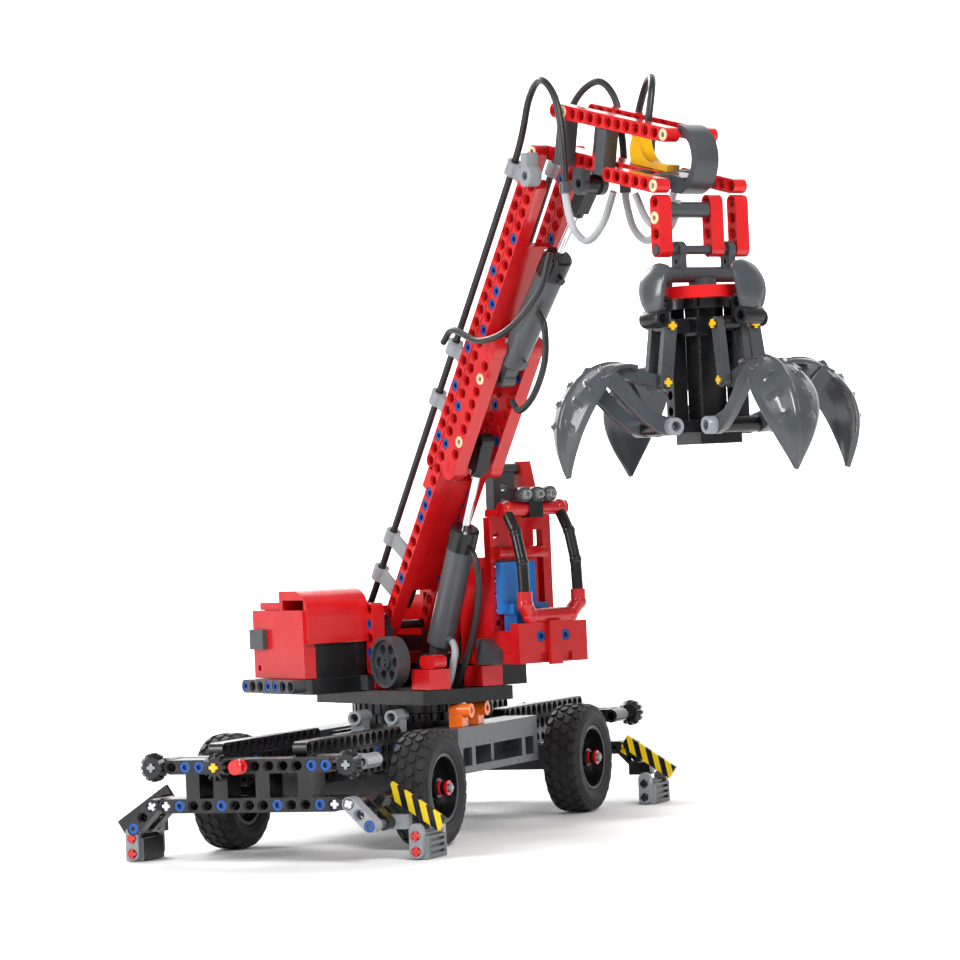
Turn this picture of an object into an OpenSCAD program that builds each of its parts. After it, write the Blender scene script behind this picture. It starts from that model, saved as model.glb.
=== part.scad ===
// Wheeled material handler built from 8 mm pitch construction beams:
// chassis with four outriggers, slewing house with cab, two-part arm moved by
// two air cylinders, and a four-leaf rotating grab.
// Chassis runs along X, floor at z = 0. House parts are drawn with the arm
// along +X and turned to slew_deg.

/* [Grid] */
// hole pitch of the beam system
pitch = 8; // [8:0.1:8]
// beam thickness
bt = 7.8; // [7.6:0.1:7.8]
// beam height
bh = 7.4; // [7.2:0.1:7.6]
// pin hole radius
hole_r = 2.4; // [2.4:0.05:2.45]
// pin shank radius
pin_r = 2.34; // [2.3:0.02:2.36]

/* [Chassis] */
// half the wheelbase
half_base = 107; // [105:1:109]
// tyre radius
tyre_r = 31.2; // [30:0.1:31.5]
// tyre width
tyre_w = 21; // [20:0.5:22]
// outer side of the tyres from the middle
track_out = 68; // [68:0.5:70]
// distance of the end beams from the slew axis
end_x = 200; // [200:1:202]
// height of the lower end beam
low_z = 31; // [31:0.5:32]
// height of the upper end beam
up_z = 51; // [51:0.5:52]
// outrigger arm angle below level
leg_deg = 45; // [43:1:46]

/* [Arm] */
// slew position of the house as stored
slew_deg = -123; // [-125:1:-120]
// boom angle above level
boom_deg = 55.2; // [55:0.1:55.4]
// stick angle below level
stick_deg = 13; // [12.8:0.1:13.2]
// half distance of the boom side beams
boom_w = 12; // [12:0.1:12]
// air cylinder barrel radius
cyl_r = 7.6; // [7.4:0.1:7.7]

/* [Grab] */
// grab turned from the arm direction
head_deg = -6.5; // [-8:0.5:0]
// width of a grab leaf
leaf_w = 36; // [34:1:38]

/* [Hidden] */
$fn = 40;
ox = 14.00; oy = 111.25;   // slew axis from the middle of the footprint
bp = [4.9, 114.5];      // boom foot pivot (u, z)
bd = [cos(boom_deg), sin(boom_deg)];    // along the boom
bn = [-sin(boom_deg), cos(boom_deg)];   // behind the boom
function onb(t,n) = bp + t*bd + n*bn;   // point t along and n behind the boom
ep = onb(37*pitch, pitch);              // elbow pivot
lp = onb(16*pitch, -11);                // lift cylinder eye on the boom
fp = [31, 94];                          // lift cylinder foot
gp = onb(21*pitch, -11);                // stick cylinder foot on the boom
function ons(x,z) = ep + [x*cos(stick_deg)+z*sin(stick_deg), -x*sin(stick_deg)+z*cos(stick_deg)];
sp = ons(4*pitch, -12);                 // stick cylinder eye on the stick
kp = ons(124, 0);                       // corner of the stick legs
hp = [kp[0], kp[1]-4*pitch];            // grab hanging axle
gu = hp[0]; gz = hp[1];
lift_deg = atan2(lp[1]-fp[1], lp[0]-fp[0]);
lift_len = norm(lp-fp);
arm_deg = atan2(sp[1]-gp[1], sp[0]-gp[0]);
arm_len = norm(sp-gp);
leg_y = 56;             // outrigger pivot, off the middle

module ch() translate([ox,oy,0]) children();
module sl() translate([ox,oy,0]) rotate([0,0,slew_deg]) children();

// pin hole tool along Z, centred, with shallow counterbores
module bore(t=7.8, r=2.4, c=3.1) rotate_extrude($fn=32)
  polygon([[0,-t/2-0.2],[c,-t/2-0.2],[c,-t/2+0.9],[r,-t/2+0.9],[r,t/2-0.9],[c,t/2-0.9],[c,t/2+0.2],[0,t/2+0.2]]);
// straight beam along +X, first hole at the origin, holes along Y
module beam(n, t=bt, h=bh, skip=[]) difference() {
  union() {
    translate([0,-t/2,-h/2]) cube([(n-1)*pitch,t,h]);
    for (x=[0,(n-1)*pitch]) translate([x,0,0]) rotate([90,0,0]) cylinder(d=h,h=t,center=true);
  }
  for (i=[0:n-1]) if (len(search(i,skip))==0) translate([i*pitch,0,0]) rotate([90,0,0]) bore(t);
}
// plain beam without holes
module bar(l, t=bt, h=bh) {
    translate([0,-t/2,-h/2]) cube([l,t,h]);
    for (x=[0,l]) translate([x,0,0]) rotate([90,0,0]) cylinder(d=h,h=t,center=true);
}
// friction pin head and shank along Y, filling one hole
module pin(l=bt, r=pin_r) rotate([90,0,0]) difference() {
  union() { cylinder(r=r,h=l-0.4,center=true,$fn=32); for (s=[-1,1]) translate([0,0,s*(l/2-0.55)]) cylinder(r=2.9,h=0.5,center=true,$fn=32); }
  for (s=[-1,1]) translate([0,0,s*l/2]) cylinder(r=1.5,h=4,center=true,$fn=24);
}
// cross axle along Y
module axle(l, r=2.3) rotate([90,0,0]) intersection() { cylinder(r=r,h=l,center=true,$fn=32); union() { cube([1.8,6,l+1],center=true); cube([6,1.8,l+1],center=true);} }
module at(u,w,z,deg=0) translate([u,w,z]) rotate([0,-deg,0]) children();
// round tube along Y
module tubey(ro,ri,l) rotate([90,0,0]) difference() { cylinder(r=ro,h=l,center=true); cylinder(r=ri,h=l+1,center=true); }

// ---- hose: a round cord of 8 sides swept along a smooth curve through its points
function cr(a,b,c,d,t) = 0.5*((2*b)+(c-a)*t+(2*a-5*b+4*c-d)*t*t+(3*b-a-3*c+d)*t*t*t);
function smooth(p,k=6) = let(n=len(p)) concat([for (i=[0:n-2]) for (j=[0:k-1])
   cr(i==0?2*p[0]-p[1]:p[i-1], p[i], p[i+1], i==n-2?2*p[n-1]-p[n-2]:p[i+2], j/k)], [p[n-1]]);
function unit(v) = v/norm(v);
function tang(q,i) = unit(q[min(i+1,len(q)-1)]-q[max(i-1,0)]);
function frames(q,i=0,a=undef) = i>=len(q) ? [] : let(t=tang(q,i),
   s0 = a==undef ? (abs(t[1])<0.9?[0,1,0]:[1,0,0]) : a, s=unit(s0-(s0*t)*t)) concat([s], frames(q,i+1,s));
module hose(p, r=1.5, k=6, n=8) {
  q = smooth(p,k); f = frames(q); m = len(q);
  pts = [for (i=[0:m-1]) let(t=tang(q,i), s=f[i], b=cross(t,s)) for (j=[0:n-1]) q[i]+r*(cos(360*j/n)*s+sin(360*j/n)*b)];
  faces = concat([[for (j=[0:n-1]) j]], [for (i=[0:m-2]) for (j=[0:n-1]) let(a=i*n+j,b=i*n+(j+1)%n) [a, a+n, b+n, b]],
                 [[for (j=[n-1:-1:0]) (m-1)*n+j]]);
  polyhedron(points=pts, faces=faces, convexity=6);
}

// ================= chassis =================
rail_y = 24;
gear_y = 55.5;            // hand gears beside the upper end beams
module chassis_rails() color([0.06,0.06,0.07]) ch() {
  for (s=[-1,1]) {
    difference() {
      union() {
        translate([-188,s*rail_y-bt/2,39]) cube([376,bt,15.6]);
      }
      for (i=[-23:23]) translate([i*pitch,s*rail_y,50.6]) rotate([90,0,0]) bore();
      for (i=[-23:23]) translate([i*pitch,s*rail_y,42.8]) rotate([90,0,0]) cylinder(r=hole_r,h=9,center=true,$fn=24);
      for (x=[-half_base,half_base]) translate([x,s*rail_y,tyre_r+2]) cube([22,9,14],center=true);
    }
  }
  // axle carriers
  for (x=[-half_base,half_base]) difference() {
    translate([x-8,-40,tyre_r-6]) cube([16,80,14]);
    translate([x,0,tyre_r]) rotate([90,0,0]) cylinder(r=2.5,h=90,center=true);
    for (s=[-1,1]) translate([x-9,s*rail_y-4.2,39]) cube([18,8.4,10]);
  }
}
module chassis_deck() color([0.09,0.09,0.10]) ch() {
  // cross beams and floor between the rails
  for (x=[-168,-136,-72,72,136,168]) translate([x,0,0]) difference() {
    translate([-4,-19.7,43]) cube([8,39.4,8]);
    for (y=[-16:8:16]) translate([0,y,47]) rotate([0,90,0]) bore(8);
  }
  difference() {
    translate([-60,-19.7,51.2]) cube([120,39.4,6.3]);
    cylinder(r=9,h=80,$fn=48);
    for (x=[-48:16:48]) for (y=[-12,12]) if (norm([x,y])>14) translate([x,y,54.35]) bore(6.3);
  }
  // raised edge beams on top of the rails
  for (s=[-1,1]) for (x0=[-188,76]) translate([x0,s*rail_y,58.6]) beam(15);
  // mid riser blocks under the turntable
  for (s=[-1,1]) translate([-34,s*30-1.9,54.9]) cube([68,4,3]);
}
module side_panels() color([0.20,0.21,0.23]) ch() for (s=[-1,1]) {
  difference() {
    translate([-56,s*44-10,34]) cube([112,20,25]);
    translate([-52,s*44-8,30]) cube([50,16,20]);
    translate([2,s*44-8,30]) cube([50,16,20]);
    for (x=[-50,38]) translate([x,s>0?50:-56,38]) cube([12,6,10]);
    translate([-33,s>0?50:-56,38]) cube([66,6,10]);
  }
  for (x=[-44,44]) translate([x-4,s>0?28.1:-33.8,42]) cube([8,5.7,8]);
}
module end_beams() color([0.07,0.07,0.08]) ch() for (m=[-1,1]) scale([1,1,1]) {
  // outer lower and upper beams, holes along X
  translate([m*end_x,-48,low_z]) rotate([0,0,90]) beam(13);
  translate([m*end_x,-44,up_z]) rotate([0,0,90]) beam(12);
  // inner pivot beam carrying the outrigger axles
  translate([m*(end_x-8),-leg_y,low_z]) rotate([0,0,90]) beam(15);
  translate([m*(end_x-8),-44,up_z]) rotate([0,0,90]) beam(12);
  // short risers between the two levels
  for (y=[-32,-8,16,32]) translate([m*(end_x-4),y-4,low_z+3.6]) translate([-7.8,0,0]) cube([15.6,7.8,up_z-low_z-7.2]);
  // tie blocks to the rails
  for (s=[-1,1]) translate([m>0?184:-196,s*rail_y-4,46.9]) cube([12,8,8]);
}
module chassis_pins() color([0.03,0.20,0.62]) ch() for (m=[-1,1]) {
  for (i=[1,4,8,11]) translate([m*end_x,-48+i*8,low_z]) rotate([0,0,90]) pin();
  for (i=[0,1,9,10]) translate([m*end_x,-44+i*8,up_z]) rotate([0,0,90]) pin();
  for (s=[-1,1]) for (x=[10,13,19]) translate([m*x*8,s*rail_y,50.6]) pin();
}
module tube_couplers() color([0.45,0.46,0.48]) ch() {
  // grey tube connectors in front of the turntable and red bush between them
  for (y=[6.5,-15.5]) translate([-50,y,66]) rotate([0,0,90]) difference() {
    union() { tubey(3.9,2.45,15.6); translate([-3.9,-3.9,-8.4]) cube([7.8,7.8,6.8]); }
    rotate([90,0,0]) cylinder(r=2.45,h=20,center=true);
  }
  // silver axle joiners behind the end gears
  for (m=[-1,1]) for (s=[-1,1]) translate([m*(end_x-24),s*gear_y,up_z]) rotate([0,0,90]) difference() {
    tubey(3.9,2.45,18); for (a=[0,120,240]) rotate([0,a,0]) translate([0,0,3.6]) cube([0.8,19,1.2],center=true);
  }
  // brackets from the joiners to the rails
  for (m=[-1,1]) for (s=[-1,1]) translate([m*(end_x-24)-3.9,s>0?28.1:-(gear_y-3.7),up_z-3.7]) cube([7.8,gear_y-3.7-28.1,7.4]);
}
module turntable_base() color([0.07,0.07,0.08]) ch() difference() {
  union() {
    translate([0,0,57.7]) cylinder(r=27,h=3.6,$fn=72);
    translate([0,0,61.3]) cylinder(r=30,h=4.4,$fn=72);
    for (i=[0:27]) rotate([0,0,i*360/28]) translate([29,-1.1,61.3]) cube([2.6,2.2,4.4]);
  }
  translate([0,0,50]) cylinder(r=12.3,h=20,$fn=48);
  for (i=[0:3]) rotate([0,0,45+i*90]) translate([20,0,60]) cylinder(r=2.4,h=20,center=true);
}
module marker_lamps() color([1,0.42,0.08,0.8]) ch() {
  // bracket shoe with two amber lamps on the right side
  for (x=[-36,-14]) translate([x,-48,67.6]) difference() {
    union() { tubey(3.9,1.7,12); translate([-3.9,-2,-8.5]) cube([7.8,8,6.6]); }
    rotate([90,0,0]) cylinder(r=1.7,h=20,center=true);
  }
}

// ---- wheels ----
module tyre_at(x,s) ch() translate([x,s*(track_out-tyre_w/2),tyre_r]) rotate([90,0,0]) difference() {
  union() {
    rotate_extrude($fn=96) polygon([[18.8,-tyre_w/2+1.5],[22,-tyre_w/2+0.2],[27.5,-tyre_w/2],[30,-tyre_w/2+2.4],[tyre_r-1.4,-tyre_w/2+5],[tyre_r-1.4,tyre_w/2-5],[30,tyre_w/2-2.4],[27.5,tyre_w/2],[22,tyre_w/2-0.2],[18.8,tyre_w/2-1.5]]);
    for (i=[0:23]) rotate([0,0,i*15]) { translate([28.4,-2.4,-9.2]) cube([tyre_r-28.5,4.6,8.0]); rotate([0,0,7.5]) translate([28.4,-2.4,1.2]) cube([tyre_r-28.5,4.6,8.0]); }
    for (i=[0:23]) rotate([0,0,i*15+3.7]) translate([28.4,-2,-3.4]) cube([tyre_r-28.5,4.0,6.8]);
  }
}
module rim_at(x,s) ch() translate([x,s*(track_out-tyre_w/2),tyre_r]) rotate([s*90,0,0]) {
  // outside faces -Z here after the turn, so the dish opens to the outside
  difference() {
    union() {
      rotate_extrude($fn=72) polygon([[16.6,-tyre_w/2+1.2],[18.5,-tyre_w/2+1.2],[18.5,tyre_w/2-1.2],[16.6,tyre_w/2-1.2],[16.6,4.5],[4,2.5],[4,-1.5],[16.6,-0.5]]);
      cylinder(r=5.2,h=13,center=true,$fn=40);
    }
    for (i=[0:5]) rotate([0,0,i*60]) translate([11,0,0]) cylinder(r=3.2,h=20,center=true,$fn=32);
    cylinder(r=2.5,h=40,center=true,$fn=32);
  }
  // axle stub through the hub and its stop bush
  translate([0,0,5]) rotate([90,0,0]) axle(35);
  translate([0,0,-9.4]) difference() { cylinder(r=3.7,h=5.6,center=true,$fn=32); cylinder(r=2.45,h=9,center=true,$fn=32); }
}
module tyre_nl() color([0.05,0.05,0.05]) tyre_at(-half_base,1);
module tyre_nr() color([0.05,0.05,0.05]) tyre_at(-half_base,-1);
module tyre_fl() color([0.05,0.05,0.05]) tyre_at(half_base,1);
module tyre_fr() color([0.05,0.05,0.05]) tyre_at(half_base,-1);
module rim_nl() color([0.08,0.08,0.09]) rim_at(-half_base,1);
module rim_nr() color([0.08,0.08,0.09]) rim_at(-half_base,-1);
module rim_fl() color([0.08,0.08,0.09]) rim_at(half_base,1);
module rim_fr() color([0.08,0.08,0.09]) rim_at(half_base,-1);

// ---- outriggers: m = end (-1 near, 1 far), s = side (1 left, -1 right) ----
pin_y = leg_y+16*cos(leg_deg); pin_z = low_z-16*sin(leg_deg);
module leg_at(m,s) ch() translate([m*end_x,s*leg_y,low_z]) rotate([0,0,s>0?90:-90]) {
  // local X points outwards, local Y along the chassis
  g = (m*s>0)?1:-1;   // local +Y points inboard when g = 1
  rotate([0,leg_deg,0]) beam(3);
  translate([0,g*16,0]) rotate([0,leg_deg,0]) beam(3);
  rotate([0,leg_deg,0]) translate([8,g*8,0]) cube([4.6,8.6,4.6],center=true);
  // hazard plate carried over the arms, and its bridge
  translate([0,g*31.3,0]) rotate([0,leg_deg-12,0]) translate([3,-1.3,4.4]) cube([35,2.6,7.8]);
  translate([0,g>0?19.6:-30.4,0]) rotate([0,leg_deg-12,0]) translate([3.4,0,1]) cube([4.4,10.8,6]);
  // pivot axle
  translate([0,g*8,0]) axle(24.6,2.3);
}
// foot plate of two holes with rounded ends, thickness t along Y
module foot_plate(t) rotate([90,0,0]) difference() {
  union() { for (z=[4.4,15]) translate([0,z,0]) cylinder(r=3.7,h=t,center=true); translate([-3.7,4.4,-t/2]) cube([7.4,10.6,t]); }
  for (z=[4.4,12.4]) translate([0,z,0]) cylinder(r=2.45,h=t+1,center=true);
}
module foot_at(m,s) ch() translate([m*end_x,s*pin_y,pin_z]) rotate([0,0,s>0?90:-90]) {
  g = (m*s>0)?1:-1;
  // pin through the ends of both arms and the bracket behind them
  translate([0,g*9,0]) rotate([90,0,0]) cylinder(r=2.34,h=25,center=true,$fn=32);
  translate([-3.7,g>0?20.4:-28.4,-3.7]) cube([13,8,7.4]);
  for (y=[22.5,49]) translate([14.2,g*y,-pin_z]) foot_plate(3.8);
  difference() {
    translate([9.3,g>0?24.2:-47.3,-pin_z+0.4]) cube([10.4,23.1,11.6]);
    for (z=[2.6,5.8,9]) translate([18.2,g>0?27:-44.4,-pin_z+z]) cube([3,17.4,1.5]);
    for (z=[4.4,12.4]) translate([14.2,g*36,-pin_z+z]) rotate([90,0,0]) cylinder(r=2.45,h=60,center=true);
  }
  for (z=[4.4,12.4]) translate([14.2,g*35.8,-pin_z+z]) axle(31.6,2.36);
}
module leg_nl() color([0.08,0.08,0.09]) leg_at(-1,1);
module leg_nr() color([0.08,0.08,0.09]) leg_at(-1,-1);
module leg_fl() color([0.08,0.08,0.09]) leg_at(1,1);
module leg_fr() color([0.08,0.08,0.09]) leg_at(1,-1);
module foot_nl() color([0.55,0.56,0.58]) foot_at(-1,1);
module foot_nr() color([0.55,0.56,0.58]) foot_at(-1,-1);
module foot_fl() color([0.55,0.56,0.58]) foot_at(1,1);
module foot_fr() color([0.55,0.56,0.58]) foot_at(1,-1);

// ---- outrigger hand gears ----
module gear_at(m,s) ch() translate([m*end_x,s*gear_y,up_z]) rotate([0,90,0]) {
  difference() {
    union() {
      cylinder(r=5.2,h=7.6,center=true,$fn=40);
      for (i=[0:11]) rotate([0,0,i*30]) intersection() {
        translate([4.2,-1.15,-3.8]) cube([3.4,2.3,7.6]);
        rotate_extrude($fn=48) polygon([[0,-3.8],[5.2,-3.8],[7.5,-1.4],[7.5,1.4],[5.2,3.8],[0,3.8]]);
      }
    }
    cylinder(r=2.45,h=20,center=true,$fn=32);
  }
  rotate([90,0,0]) axle(8.4,2.3);
  translate([0,0,-m*13]) rotate([90,0,0]) axle(18,2.3);
}
module gear_nl() color([0.06,0.06,0.07]) gear_at(-1,1);
module gear_nr() color([0.06,0.06,0.07]) gear_at(-1,-1);
module gear_fl() color([0.06,0.06,0.07]) gear_at(1,1);
module gear_fr() color([0.06,0.06,0.07]) gear_at(1,-1);

// ================= house =================
module house_frame() color([0.05,0.05,0.06]) sl() {
  translate([0,0,58]) cylinder(r=12.2,h=10,$fn=48);
  difference() { translate([0,0,66.2]) cylinder(r=31,h=5.8,$fn=72); for (i=[0:35]) rotate([0,0,i*10]) translate([30,-1.2,65]) cube([2,2.4,8]); }
  difference() { translate([-48,-29.5,72]) cube([109,59,7.6]); translate([28,-5.3,72.1]) cube([24,10.6,9]); }
  translate([-50,-64,79]) cube([54,34.5,8.6]);
  translate([-50,29.5,79]) cube([54,34.5,8.6]);
  translate([-48,-29.5,79.6]) cube([14,59,8]);
  translate([20,20,79.6]) cube([34,24,11.8]);
  // inner engine blocks seen below the covers
  translate([-46,-60,87.6]) cube([49,33,19]);
  translate([-46,27,87.6]) cube([49,33,19]);
  // arm foot brackets and their axle
  for (s=[-1,1]) {
    difference() {
      union() { translate([-8,s>0?16.4:-20,79.6]) cube([22,3.6,34]); at(bp[0],s*18.2,bp[1]) rotate([90,0,0]) cylinder(r=7,h=3.6,center=true); }
      translate([-2,s*18.2,92]) rotate([90,0,0]) cylinder(r=2.4,h=9,center=true); translate([8,s*18.2,92]) rotate([90,0,0]) cylinder(r=2.4,h=9,center=true);
    }
    // lift cylinder lugs
    translate([24,s>0?5.2:-9.2,79.6]) cube([14,4,14]); translate([fp[0],s*7.2,fp[1]]) rotate([90,0,0]) cylinder(r=5,h=4,center=true);
  }
  at(bp[0],0,bp[1]) rotate([90,0,0]) cylinder(r=2.34,h=46,center=true,$fn=32);
  at(fp[0],0,fp[1]) rotate([90,0,0]) cylinder(r=2.34,h=18.4,center=true,$fn=32);
  // cab pillars: bent black tubes
  for (y=[21.6,57]) {
    seg([88,y,129],[87,y,147],3.1); seg([87,y,147],[82,y,163],3.1); seg([82,y,163],[75,y,173],3.1);
    translate([87,y,147]) sphere(r=3.5,$fn=24); translate([82,y,163]) sphere(r=3.5,$fn=24);
  }
  // lamp carrier on the roof tube
  difference() { translate([69,34.5,171]) cube([8.6,9,10]); translate([73,39,176]) rotate([90,0,0]) cylinder(r=4.05,h=20,center=true); }
  translate([71,26,180.2]) cube([5,26,7]);
}
module seg(a,b,r) { v=b-a; l=norm(v); translate(a) rotate([0,acos(v[2]/l),atan2(v[1],v[0])]) cylinder(r=r,h=l,$fn=32); }
module house_panels() color([0.75,0.05,0.05]) sl() {
  for (s=[-1,1]) {
    // side panel and top block
    difference() {
      translate([-50,s>0?60.5:-68,88]) cube([53,7.5,37.5]);
      translate([-46,s*68-4,92]) cube([3,8,3]);
    }
    translate([-50,s>0?27:-60,107]) cube([26,33,19.5]);
    translate([-48,s>0?32:-64,125.7]) cube([20,32,4]);
    // rounded cover
    translate([0,s>0?66.5:-26.5,0]) rotate([90,0,0]) linear_extrude(40) difference() {
      union() { translate([-23.5,107]) square([17,29]); translate([-8,122]) circle(r=14,$fn=72); translate([-8,107]) square([14,15]); }
      translate([-20,104]) square([22,27]);
    }
    // posts beside the arm foot
    translate([8,s*24.4,92]) rotate([0,-90,0]) beam(5);
    translate([4.2,s>0?20.4:-28.2,80]) cube([7.6,7.8,7.8]);
    // forward blocks round the turntable
    translate([42,s>0?10.6:-24,80]) cube([18,13.4,11]);
    translate([50,s*17.3,95]) rotate([0,0,0]) bar(8);
  }
  // rear wall
  translate([-54,-58,88]) cube([3.8,116,36]);
  // deck behind the arm foot
  translate([-33,-26.5,92]) cube([20,53,6]); translate([-33,-26.5,88]) cube([6,53,4]);
}
module house_trim() color([0.30,0.31,0.33]) sl() {
  // lower side beams of seven holes
  for (s=[-1,1]) translate([-48,s*72,84]) beam(7);
  for (s=[-1,1]) translate([-51,s>0?64.2:-68,80.4]) cube([10,3.8,7.2]);
  for (s=[-1,1]) translate([-6,s>0?64.2:-68,80.4]) cube([10,3.8,7.2]);
  // latch bracket on the side panel
  for (s=[-1,1]) translate([-49,s>0?68.2:-71.2,104]) cube([14,3,11]);
  // exhaust bar, air filter column and cap behind the cab roof
  translate([46,24,198]) rotate([-90,0,0]) cylinder(r=3.2,h=24);
  difference() { translate([42,30,150.2]) cube([8,14,46]); for (z=[156:8:188]) translate([46,37,z]) rotate([0,90,0]) cylinder(r=2.4,h=20,center=true,$fn=32); }
  // wedge blocks between arm and cab
  translate([58.5,16,92]) rotate([90,0,0]) linear_extrude(7.5) polygon([[0,0],[15,0],[15,8],[4,14],[0,14]]);
  // worm gear plate below the post
  translate([0,-32.8,80]) cube([11,4.2,8]);
}
module house_pins() color([0.03,0.20,0.62]) sl() {
  for (s=[-1,1]) { for (z=[100,116]) translate([8,s*24.4,z]) pin(); for (x=[0,3,4]) translate([-48+x*8,s*72,84]) pin(); }
  for (y=[30,46]) translate([85.9,y,106.5]) rotate([0,0,90]) pin(8);
  for (y=[30,50]) translate([60,y,152]) rotate([0,0,90]) pin(7);
}
module cab_shell() color([0.75,0.05,0.05]) sl() {
  // lower front block with pin holes, floor and rear wall
  difference() {
    translate([82,15.5,92]) cube([7.8,45,22]);
    for (y=[30,46]) translate([85.9,y,106.5]) rotate([0,90,0]) bore(7.8);
    for (y=[30,46]) translate([88,y-4,93]) cube([3,8,4.5]);
  }
  translate([90,34.2,91]) cube([3,7.6,24]);
  translate([50,15.5,92]) cube([31.9,45,5.8]);
  for (y=[15.5,56.7]) translate([62.5,y,98]) cube([19.4,3.8,12]);
  difference() {
    translate([56,18,98]) cube([6,40.5,74]);
    translate([50,44,124]) cube([20,9,40]);
    for (y=[30,50]) translate([59,y,152]) rotate([0,90,0]) cylinder(r=2.45,h=20,center=true);
    for (z=[106:8:162]) translate([59,22,z]) rotate([0,90,0]) bore(6,r=1.6,c=2.2);
  }
  // roof edge and top tube
  translate([58,18,172.2]) cube([12,43.5,4]);
  seg([73,18.2,176],[73,61,176],4);
  for (y=[23,57]) { translate([73,y,176]) sphere(r=4.7,$fn=32); }
  // lower U tube
  for (y=[21.6,57]) { seg([88,y,124],[88,y,131],4.1); translate([88,y,124]) sphere(r=4.5,$fn=32); translate([88,y<38?25:51,117.6]) sphere(r=4.5,$fn=32); seg([88,y,124],[88,y<38?25:51,117.6],4.1); }
  seg([88,25,117.6],[88,51,117.6],4.1);
  // right wall by the arm
  translate([30,17.8,92]) cube([25.9,3.3,52]); translate([44,20.9,92]) cube([6,3.4,30]);
  // rear body behind the cab
  difference() { translate([22,24,92]) cube([27.5,34,58]); translate([18,30,98]) cube([26,22,44]); }
  translate([42,48.3,150.2]) rotate([0,0,0]) cube([8,7,36]);
  translate([42,55.3,186]) rotate([90,0,0]) linear_extrude(7) polygon([[0,0],[13,0],[8,16],[3,16]]);
  // cross tube under the roof
  seg([65,20,152],[65,52,152],3.4);
}
module cab_seat() color([0.05,0.35,0.75]) sl() {
  translate([62.4,20.5,119]) cube([5,23,28.2]);
  translate([67.4,20.5,119]) cube([11,23,5.5]);
  difference() { translate([64,24,98.2]) cube([12,16,20.6]); translate([60,28,102]) cube([20,8,12]); }
}
module cab_lamps() color([0.85,0.88,0.9,0.7]) sl() for (y=[30.6,39,47.4]) translate([76.2,y,183.7]) rotate([0,90,0]) difference() {
  union() { cylinder(r=3.9,h=3,$fn=48); cylinder(r=2.4,h=6.6,$fn=40); }
  translate([0,0,4]) cylinder(r=1.6,h=5,$fn=32);
}
module slew_wheel() color([0.28,0.29,0.31]) sl() translate([31,-30.2,95.4]) rotate([90,0,0]) {
  difference() {
    union() { cylinder(r=14,h=8,center=true,$fn=72); }
    for (s=[-1,1]) translate([0,0,s*5]) difference() { cylinder(r=12.3,h=6,center=true,$fn=64); cylinder(r=4,h=7,center=true); }
    for (i=[0:5]) rotate([0,0,i*60]) translate([8,0,0]) cylinder(r=2.7,h=20,center=true,$fn=32);
    cylinder(r=2.45,h=20,center=true);
  }
  rotate([90,0,0]) axle(9.6,2.4);
}

// ================= boom =================
module ab(t,n,w) let(p=onb(t,n)) translate([p[0],w,p[1]]) rotate([0,-boom_deg,0]) children();
module boom_beams() color([0.78,0.05,0.04]) sl() {
  for (s=[-1,1]) {
    ab(0,0,s*boom_w) beam(36);
    ab(104,8,s*boom_w) beam(25);
    ab(112,-11,s*boom_w) beam(10);
    ab(108,-5.5,s*boom_w) translate([0,-bt/2,-2.4]) cube([80,bt,4.8]);
    ab(88,6.2,s*boom_w) translate([0,-bt/2,-2.5]) cube([12,bt,4]);
  }
  // cross members and front panel between the side beams
  ab(24,0.6,0) translate([0,-7.9,-2]) cube([72,15.8,4.4]);
  ab(188,0.6,0) translate([0,-7.9,-2]) cube([56,15.8,4.4]);
  ab(150,4,0) translate([0,-7.9,-3]) cube([12,15.8,6]);
  ab(104,7,0) translate([0,-7.9,-3]) cube([30,15.8,6]);
  // knee fairing
  for (s=[-1,1]) ab(186,-9,s*boom_w) rotate([90,0,0]) cylinder(r=6.4,h=bt-0.4,center=true);
  for (s=[-1,1]) ab(110,-9,s*boom_w) rotate([90,0,0]) cylinder(r=6.4,h=bt-0.4,center=true);
}
module boom_pins() color([0.03,0.20,0.62]) sl() for (s=[-1,1]) {
  for (t=[4,9,10,11,15,18,24,26,27,31]) ab(t*8,0,s*boom_w) pin();
  for (t=[2,6,9,15,22,23]) ab(104+t*8,8,s*boom_w) pin();
  for (t=[2,7]) ab(112+t*8,-11,s*boom_w) pin();
}
module hose_clips() color([0.55,0.57,0.60]) sl() {
  for (t=[20,44,135,167,278]) for (w=[-13,13]) ab(t,22.6,w) {
    difference() { union() { rotate([0,90,0]) cylinder(r=4.2,h=7.6,center=true); translate([-3.8,-1.6,t<100?-18.6:-10.4]) cube([7.6,3.2,t<100?15.6:7.6]); } rotate([0,90,0]) cylinder(r=2.35,h=9,center=true); }
  }
  // grey joint pieces on the boom head
  for (s=[-1,1]) ab(287,-1.5,s*19.8) rotate([90,0,0]) difference() { union() { cylinder(r=5.6,h=7.2,center=true); rotate([0,0,35.2]) translate([4,-2.6,-3.6]) cube([8,5.2,7.2]); } cylinder(r=2.4,h=8,center=true); }
}
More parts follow.
